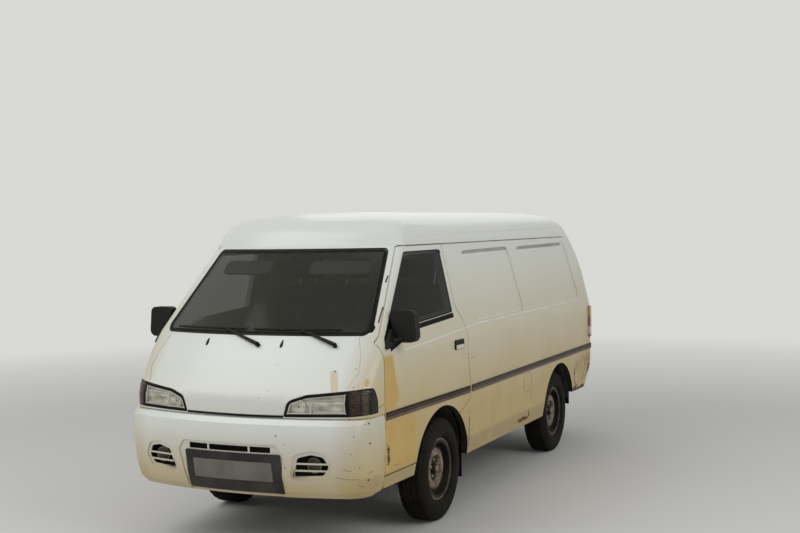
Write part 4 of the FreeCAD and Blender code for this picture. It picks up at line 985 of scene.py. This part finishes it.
def make_trim_card(side, sign):
    """The card inside a cab door, with its arm rest and its pull."""
    panel = Surface(f"door_{side}_panel")

    def inside(u, v):
        return panel.meet(Vector((0.0, u, v)), Vector((sign, 0, 0)))

    card = Piece()
    outline = (
        (-690, 640, 40), (-380, 850, 60), (120, 850, 60), (330, 800, 30),
        (330, 1180, 40), (-250, 1180, 40), (-650, 1090, 30),
    )
    edge = divided(rounded(side_outline(outline)), 30 * MM)
    patch(card, edge, inside, ((1.0, 0.5), (0.995, -6), (0.96, -8), (0.5, -8), (0.02, -8)))
    for start, end, height in ((-420, -60, 1010), (-350, 150, 930)):
        rest = [inside(behind(u), height * MM) for u in range(start, end + 1, 40)]
        ribbon(card, lowered(rest, -6), 46, 24, closed=False, finish=1)
    card.place(f"door_{side}_trim_card", f"door_{side}", "trim_card", "dash_plastic")


def make_door_details():
    for side, sign in SIDES:
        make_handle(side)
        make_mirror_glass(side, sign)
        make_trim_card(side, sign)


def make_side_details():
    """Gutter lines, and beads along the pressed edges of belt and roof and round the blank panels: pale beads
    are painted highlights and broad dark bands are painted shade.
    """
    line, edges = Piece(), Piece()
    for side in flanks:
        side_bead(line, side, ((-200, 1743), (2980, 1743)), 6, 1.2)
        # Pale beads of painted highlight along the roof's crease, and on the left along the belt.
        side_bead(edges, side, ((-143, 1774), (24, 1793), (590, 1808), (1476, 1815), (2897, 1826)), 9, 1.4)
        if side == "left":
            side_bead(edges, side, ((387, 1183), (634, 1197), (3010, 1199)), 10, 2.4)
            # Round each blank panel: painted highlights at its bottom edge and below its top, and a broad
            # band of painted shade along its top edge.
            for start, end, head_start, head_end in ((645, 1528, 607, 1530), (1737, 2985, 1745, 2880)):
                side_bead(edges, side, ((start, 1222), (end, 1222)), 7, 1.2)
                side_bead(edges, side, ((head_start, 1656), (head_end, 1660)), 7, 1.2)
                side_bead(edges, side, ((head_start, 1679), (head_end, 1684)), 30, 0.8, finish=1)
        door_belt = Piece()
        side_bead(door_belt, side, ((-537, 1135), (-169, 1153), (345, 1181)), 10, 2.4)
        door_belt.place(f"door_{side}_belt_highlight", f"door_{side}", "press_light")
    line.place("gutter_lines", "shell", "scratch")
    edges.place("painted_edge_light_and_shade", "shell", "press_light", "press_shade")


# Steps round a tyre, and in millimetres the radius at its bead and the places of its four grooves.
TYRE_STEPS = 144
TYRE_BEAD = 178.0
GROOVES = (46, 16, -16, -46)
# Each shoulder block is four steps long and each middle block six, and one step of it is cut this deep.
SHOULDER_PITCH, SHOULDER_CUT = 4, 7.0
MIDDLE_PITCH, MIDDLE_CUT = 6, 5.0


def make_tyre(name, wheel, body, sign, replaced):
    """A tyre with grooved tread and shoulder blocks, on the solid's own outline."""
    half = tyre_half / MM
    top = tyre_radius / MM
    inner = TYRE_BEAD
    profile = [
        (half - 34, inner), (half - 30, inner + 14), (half - 8, inner + 30), (half - 1, inner + 55),
        (half, inner + 68), (half - 1.5, inner + 72), (half - 1, inner + 90), (half - 7, top - 32),
        (half - 10, top - 26), (half - 16, top - 12), (half - 26, top - 2.5),
    ]
    tread = []
    for centre in GROOVES:
        tread += [(centre + 4.5, top), (centre + 3.5, top - 7), (centre - 3.5, top - 7), (centre - 4.5, top)]
    outline = profile + tread + [(-x, r) for x, r in reversed(profile)]
    rows = []
    for step in range(TYRE_STEPS):
        angle = 2 * math.pi * step / TYRE_STEPS
        outward = Vector((0, math.cos(angle), math.sin(angle)))
        row = []
        for x, r in outline:
            cut = 0.0
            on_shoulder = GROOVES[0] < abs(x) < half - 6 and r > top - 30
            if on_shoulder and step % SHOULDER_PITCH == (0 if x > 0 else 2):
                cut = SHOULDER_CUT
            if abs(x) < GROOVES[0] - 2 and r > top - 1 and step % MIDDLE_PITCH == (3 if x > 0 else 0):
                cut = MIDDLE_CUT
            row.append(wheel + Vector((sign * x * MM, 0, 0)) + outward * ((r - cut) * MM))
        rows.append(row)
    piece = Piece()
    piece.grid(rows, loop_rows=True, loop_points=True)
    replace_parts(piece.place(name, body, "tyre_rubber", smooth=28.0), replaced)


NUTS, NUT_CIRCLE = 5, 55


def make_wheels():
    """Tyres, wheel nuts and valves on all four wheels."""
    for end in ("front", "rear"):
        for side, sign in SIDES:
            wheel = middle(f"tyre_{end}_{side}")
            body = f"wheel_{end}_{side}"
            make_tyre(f"road_tyre_{end}_{side}", wheel, body, sign, f"tyre_{end}_{side}")
            nuts = Piece()
            axis = Vector((sign, 0, 0))
            for index in range(NUTS):
                angle = 2 * math.pi * index / NUTS + math.radians(18)
                round_hub = Vector((0, math.cos(angle), math.sin(angle))) * NUT_CIRCLE * MM
                spot = wheel + axis * 21 * MM + round_hub
                turned(nuts, spot, axis, ((0, 14), (3, 14), (4, 11), (15, 11), (18, 8), (18, 0)), 6)
            turned(nuts, wheel + axis * 51 * MM, axis, ((0, 23), (6, 21), (9, 12), (9, 0)), 24)
            valve = wheel + Vector((sign * 26 * MM, 0, 158 * MM))
            turned(nuts, valve, axis, ((-4, 5), (16, 4), (24, 3.5), (24, 0)), 10, finish=1)
            nuts.place(f"wheel_nuts_{end}_{side}", body, "steel_bare", "rubber_black")


# Where each seat's head rests are across, in millimetres.
HEAD_RESTS = {"driver_seat": (405,), "passenger_seat": (-430, -60)}
# The seats' padding in metres: how far in from the solid's sides it starts, how far the cloth pass may move a
# point, and how deep and wide the sewn channels are.
SEAT_EDGE = 12 * MM
PUFF_REACH = 10 * MM
CHANNEL = 9 * MM
CLOTH_FRAMES = 15
# How far a back and a head rest lean, as a share of their height.
BACK_LEAN, HEAD_LEAN = 0.165, 0.14
CUSHION_BEVEL, HEAD_BEVEL = 34 * MM, 22 * MM


def pad_block(name, low, high, bevel):
    """A block with rounded edges between two corners, as an even mesh that cloth can puff."""
    size = high - low
    shape = bmesh.new()
    bmesh.ops.create_cube(shape, size=1.0)
    for vertex in shape.verts:
        vertex.co = Vector([low[i] + (vertex.co[i] + 0.5) * size[i] for i in range(3)])
    reach = min(bevel, min(size) * 0.35)
    bmesh.ops.bevel(shape, geom=shape.edges[:], offset=reach, segments=4, affect="EDGES", profile=0.5)
    data = bpy.data.meshes.new(name)
    shape.to_mesh(data)
    shape.free()
    pad = bpy.data.objects.new(name, data)
    bpy.context.scene.collection.objects.link(pad)
    remesh = pad.modifiers.new("remesh", "REMESH")
    remesh.mode = "VOXEL"
    remesh.voxel_size = 15 * MM
    return pad


def settle(made):
    """Makes the modifiers of some objects part of their meshes."""
    graph = bpy.context.evaluated_depsgraph_get()
    meshes = [bpy.data.meshes.new_from_object(one.evaluated_get(graph)) for one in made]
    for one, data in zip(made, meshes):
        one.modifiers.clear()
        one.data = data


def puff(pads):
    """One cloth pass under inner pressure for all pads, in which no point moves further than PUFF_REACH."""
    before = [[vertex.co.copy() for vertex in pad.data.vertices] for pad in pads]
    for pad in pads:
        cloth = pad.modifiers.new("cloth", "CLOTH")
        cloth.settings.use_pressure = True
        cloth.settings.uniform_pressure_force = 4.0
        cloth.settings.effector_weights.gravity = 0.0
    for number in range(1, CLOTH_FRAMES + 1):
        bpy.context.scene.frame_set(number)
    settle(pads)
    bpy.context.scene.frame_set(1)
    for pad, places in zip(pads, before):
        for vertex, place in zip(pad.data.vertices, places):
            step = vertex.co - place
            vertex.co = place + step * min(1.0, PUFF_REACH / max(step.length, 1e-9))


def make_seats():
    """Cushions, leaning backs and head rests in place of the plain seat solids."""
    parts = []
    for name, heads in HEAD_RESTS.items():
        low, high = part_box(name)
        left, right = low.x + SEAT_EDGE, high.x - SEAT_EDGE
        third = (right - left) / 3
        seams = [(0, left + third * 0.6), (0, right - third * 0.6)]
        corners = (
            Vector((left, behind(-58), low.z + SEAT_EDGE)),
            Vector((right, behind(440), low.z + 122 * MM)),
        )
        parts.append(("cushion", name, *corners, 0.0, seams + [(1, behind(130)), (1, behind(260))]))
        corners = (
            Vector((left, behind(392), low.z + 74 * MM)),
            Vector((right, behind(470), low.z + 628 * MM)),
        )
        channels = seams + [(2, low.z + z * MM) for z in (244, 374, 504)]
        parts.append(("back", name, *corners, BACK_LEAN, channels))
        for number, across in enumerate(heads):
            corners = [
                Vector(((across + side) * MM, behind(distance), low.z + z * MM))
                for side, distance, z in ((-118, 512, 650), (118, 566, 790))
            ]
            parts.append((f"head_{number}", name, *corners, HEAD_LEAN, []))
    pads = [
        pad_block(f"{name}_{part}", low, high, CUSHION_BEVEL if channels else HEAD_BEVEL)
        for part, name, low, high, lean, channels in parts
    ]
    settle(pads)
    puff(pads)
    for pad in pads:
        pad.modifiers.new("smooth", "SUBSURF").levels = 1
    settle(pads)
    for pad, (part, name, low, high, lean, channels) in zip(pads, parts):
        for vertex in pad.data.vertices:
            for axis, place in channels:
                away = abs(vertex.co[axis] - place) / CHANNEL
                if away < 3:
                    vertex.co -= vertex.normal * (CHANNEL * math.exp(-away * away))
        for vertex in pad.data.vertices:
            vertex.co.y += (vertex.co.z - low.z) * lean
        pad.data.shade_smooth()
        pad.data.materials.append(finishes["seat_fabric"])
        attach(pad, "shell")
        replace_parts(pad, name)


def make_inner_mirror():
    """The mirror on its stem behind the windscreen."""
    cab = Piece()
    top, normal = screen.front(0.0, 1700 * MM)
    stem = top - normal * 10 * MM
    centre = stem + Vector((0, 70 * MM, -55 * MM))
    tube(cab, [stem, stem + Vector((0, 40 * MM, -20 * MM)), centre], 6)
    outline = ((-120, -32, 28), (120, -32, 28), (120, 32, 28), (-120, 32, 28))
    slab(cab, outline, lambda u, v, h: centre + Vector((u, h, v)), -8, 10, 4)
    slab(cab, outline, lambda u, v, h: centre + Vector((u * 0.93, h, v * 0.88)), 9, 11.5, 1, finish=1)
    cab.place("inner_mirror", "shell", "black_plastic", "mirror_glass")


# The instrument hood's section: Y behind the front axle and the drop from its top line, in millimetres.
HOOD_SECTION = ((-700, 30), (-620, 0), (-560, 0), (-560, 10), (-620, 14), (-700, 44))
HOOD_STEPS = 8
DIAL_STEPS = 32


def make_instruments():
    """The hood over the instruments, their dials and the vents."""
    dash_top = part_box("dashboard")[1].z
    wheel_centre = middle("steering_wheel")
    hood = Piece()
    rows = []
    for step in range(HOOD_STEPS + 1):
        angle = math.pi * step / HOOD_STEPS
        across = wheel_centre.x - 170 * MM * math.cos(angle)
        rise = dash_top - 22 * MM + 62 * MM * math.sin(angle) ** 0.7
        rows.append([Vector((across, behind(distance), rise - drop * MM)) for distance, drop in HOOD_SECTION])
    hood.grid(rows, loop_points=True, caps=True)
    dial_axis = Vector((0, 0.94, 0.34)).normalized()
    for across, size in ((-78, 46), (34, 46), (108, 26)):
        spot = Vector((wheel_centre.x + across * MM, behind(-592), dash_top - 8 * MM))
        dial = ((-8, size), (4, size), (4, size - 4), (1, size - 5), (1, 0))
        turned(hood, spot, dial_axis, dial, DIAL_STEPS, finish=1)
        scale_ring = ((1, size - 8), (1.6, size - 8), (1.6, size - 10), (1, size - 10))
        turned(hood, spot, dial_axis, scale_ring, DIAL_STEPS, finish=2, caps=False)
    for across in (-560, -330, 0):
        for row in range(4):
            start = Vector(((across - 60) * MM, behind(-494), (1082 + row * 14) * MM))
            tube(hood, [start, start + Vector((120 * MM, 0, 0))], 3, 8, finish=1)
    hood.place("instrument_hood", "shell", "dash_plastic", "black_plastic", "plate")


def make_gear_lever():
    """The bent lever with its knob and its boot on the floor."""
    lever = Piece()
    foot = Vector((60 * MM, behind(-360), 0.60))
    knob = Vector((90 * MM, behind(-330), 0.98))
    tube(lever, [foot, foot.lerp(knob, 0.5) + Vector((0, -12 * MM, 0)), knob], 8)
    turned(lever, knob, Vector((0, 0.1, 1)), ((-6, 10), (0, 20), (16, 26), (32, 20), (40, 0)), 20)
    turned(lever, foot, Vector((0, 0, 1)), ((0, 60), (20, 50), (70, 22), (90, 12)), 20)
    lever.place("gear_lever", "shell", "black_plastic")


def make_head_rest_posts():
    """Two bright posts under each head rest."""
    posts = Piece()
    for across in HEAD_RESTS["driver_seat"] + HEAD_RESTS["passenger_seat"]:
        for offset in (-60, 60):
            x = (across + offset) * MM
            tube(posts, [Vector((x, behind(522), 1.44)), Vector((x, behind(541), 1.56))], 6)
    posts.place("head_rest_posts", "shell", "chrome")


def make_sun_visors():
    """A sun visor behind the windscreen on each side."""
    visors = Piece()
    outline = ((-200, -42, 24), (200, -42, 24), (200, 34, 24), (-200, 34, 24))
    for across in (-340 * MM, 340 * MM):

        def hang(u, v, h):
            point, outward = screen.front(across + u, 1.655 + v)
            return Vector((across + u, point.y, 1.655 + v)) - outward * (h + 50 * MM)

        slab(visors, outline, hang, -8, 8, 4)
    visors.place("sun_visors", "shell", "trim_card")


def make_tail_details():
    """The tailgate's handle with its lock."""
    rear = Surface("tailgate_panel")
    handle = Piece()
    grip = ((-95, 842, 12), (95, 842, 12), (95, 886, 12), (-95, 886, 12))
    edge = divided(rounded(grip), 20 * MM)
    patch(handle, edge, rear.back, ((1.0, 1), (1.0, -8), (0.93, -11), (0.75, -9), (0.02, -9)))
    lock, outward = rear.back(0.0, 812 * MM)
    turned(handle, lock, outward, ((-1, 12), (2, 12), (4, 9), (4, 4), (2, 3), (2, 0)), 20, finish=1)
    handle.place("tailgate_handle", "tailgate", "black_plastic", "chrome")


# The rays that see the backdrop's colour instead of the light that the world gives.
BACKDROP_RAYS = ("Is Camera Ray", "Is Glossy Ray", "Is Transmission Ray")


# The half size of the floor, and between which distances it fades into the backdrop, in metres.
FLOOR_HALF = 60.0
FLOOR_FADE = (4.5, 11.0)
WORLD_LEVEL = 0.44
# Square lamps that point at the middle of the body: name, place, watts and width.
LAMPS = (
    ("key", (-4.0, -6.0, 7.0), 300.0, 7.0),
    ("fill", (8.0, -3.0, 5.0), 200.0, 5.0),
    ("back", (-2.0, 8.0, 6.0), 80.0, 7.0),
)
LAMP_TARGET = Vector((0, 0, 0.8))


def make_stage():
    """A pale floor that runs into the backdrop's colour far off, and soft lights at a plain level."""
    backdrop = tint("#d9d9d6")
    floor = bmesh.new()
    bmesh.ops.create_grid(floor, x_segments=1, y_segments=1, size=FLOOR_HALF)
    data = bpy.data.meshes.new("stage_floor")
    floor.to_mesh(data)
    floor.free()
    stage = bpy.data.objects.new("stage_floor", data)
    bpy.context.scene.collection.objects.link(stage)
    pale = Finish("pale_floor", Roughness=0.9, Specular_IOR_Level=0.2)
    pale.set(Base_Color=pale.mix("#d9d8d4", "#dddcd8", pale.noise(0.8)))
    glow = pale.node("ShaderNodeEmission", {}, backdrop, 1.0)
    away = pale.x.hypotenuse(pale.y)
    seen, shine, through = (pale.node("ShaderNodeLightPath", {}, out=name) for name in BACKDROP_RAYS)
    share = away.rise(*FLOOR_FADE) * seen.greater(shine).greater(through)
    blend = pale.node("ShaderNodeMixShader", {}, share)
    output = pale.tree.nodes["Material Output"]
    pale.tree.links.new(pale.surface.outputs[0], blend.socket.node.inputs[1])
    pale.tree.links.new(glow.socket, blend.socket.node.inputs[2])
    pale.tree.links.new(blend.socket, output.inputs[0])
    data.materials.append(pale.material)
    world = bpy.data.worlds.new("studio")
    world.use_nodes = True
    bpy.context.scene.world = world
    tree = world.node_tree
    light = tree.nodes["Background"]
    light.inputs["Color"].default_value = tint("#f4f6fa")
    light.inputs["Strength"].default_value = WORLD_LEVEL
    shown = tree.nodes.new("ShaderNodeBackground")
    shown.inputs["Color"].default_value = backdrop
    rays = tree.nodes.new("ShaderNodeLightPath")
    mix = tree.nodes.new("ShaderNodeMixShader")
    share = rays.outputs[BACKDROP_RAYS[0]]
    for ray in BACKDROP_RAYS[1:]:
        either = tree.nodes.new("ShaderNodeMath")
        either.operation = "MAXIMUM"
        tree.links.new(share, either.inputs[0])
        tree.links.new(rays.outputs[ray], either.inputs[1])
        share = either.outputs[0]
    tree.links.new(share, mix.inputs[0])
    tree.links.new(light.outputs[0], mix.inputs[1])
    tree.links.new(shown.outputs[0], mix.inputs[2])
    tree.links.new(mix.outputs[0], tree.nodes["World Output"].inputs[0])
    for name, place, power, size in LAMPS:
        lamp = bpy.data.lights.new(name, "AREA")
        lamp.energy = power
        lamp.size = size
        made = bpy.data.objects.new(name, lamp)
        made.location = place
        made.rotation_euler = (LAMP_TARGET - Vector(place)).to_track_quat("-Z", "Y").to_euler()
        bpy.context.scene.collection.objects.link(made)
    bpy.context.scene.view_settings.view_transform = "Standard"


# The photograph's camera, found by fitting known edges of the body.
CAMERA_PLACE = Vector((3.73316, -7.97439, 1.87223))
CAMERA_YAW, CAMERA_PITCH, CAMERA_ROLL = 0.43662188, 0.03519037, -0.01899651
CAMERA_LENS, SENSOR_WIDTH = 53.19, 36.0


def make_camera():
    data = bpy.data.cameras.new("photo_camera")
    data.lens = CAMERA_LENS
    data.sensor_width = SENSOR_WIDTH
    camera = bpy.data.objects.new("photo_camera", data)
    bpy.context.scene.collection.objects.link(camera)
    level = math.cos(CAMERA_PITCH)
    ahead = Vector((-math.sin(CAMERA_YAW) * level, math.cos(CAMERA_YAW) * level, -math.sin(CAMERA_PITCH)))
    right = Vector((math.cos(CAMERA_YAW), math.sin(CAMERA_YAW), 0))
    up = right.cross(ahead)
    level_right = right * math.cos(CAMERA_ROLL) + up * math.sin(CAMERA_ROLL)
    level_up = up * math.cos(CAMERA_ROLL) - right * math.sin(CAMERA_ROLL)
    turn = Matrix((level_right, level_up, -ahead)).transposed()
    camera.matrix_world = Matrix.Translation(CAMERA_PLACE) @ turn.to_4x4()
    bpy.context.scene.camera = camera


make_camera()
make_stage()
make_screen_seals()
make_door_seals()
make_lamps()
make_nose_details()
make_plate()
make_bumper_details()
make_door_details()
make_side_details()
make_marks()
make_wheels()
make_seats()
make_inner_mirror()
make_instruments()
make_gear_lever()
make_head_rest_posts()
make_sun_visors()
make_tail_details()
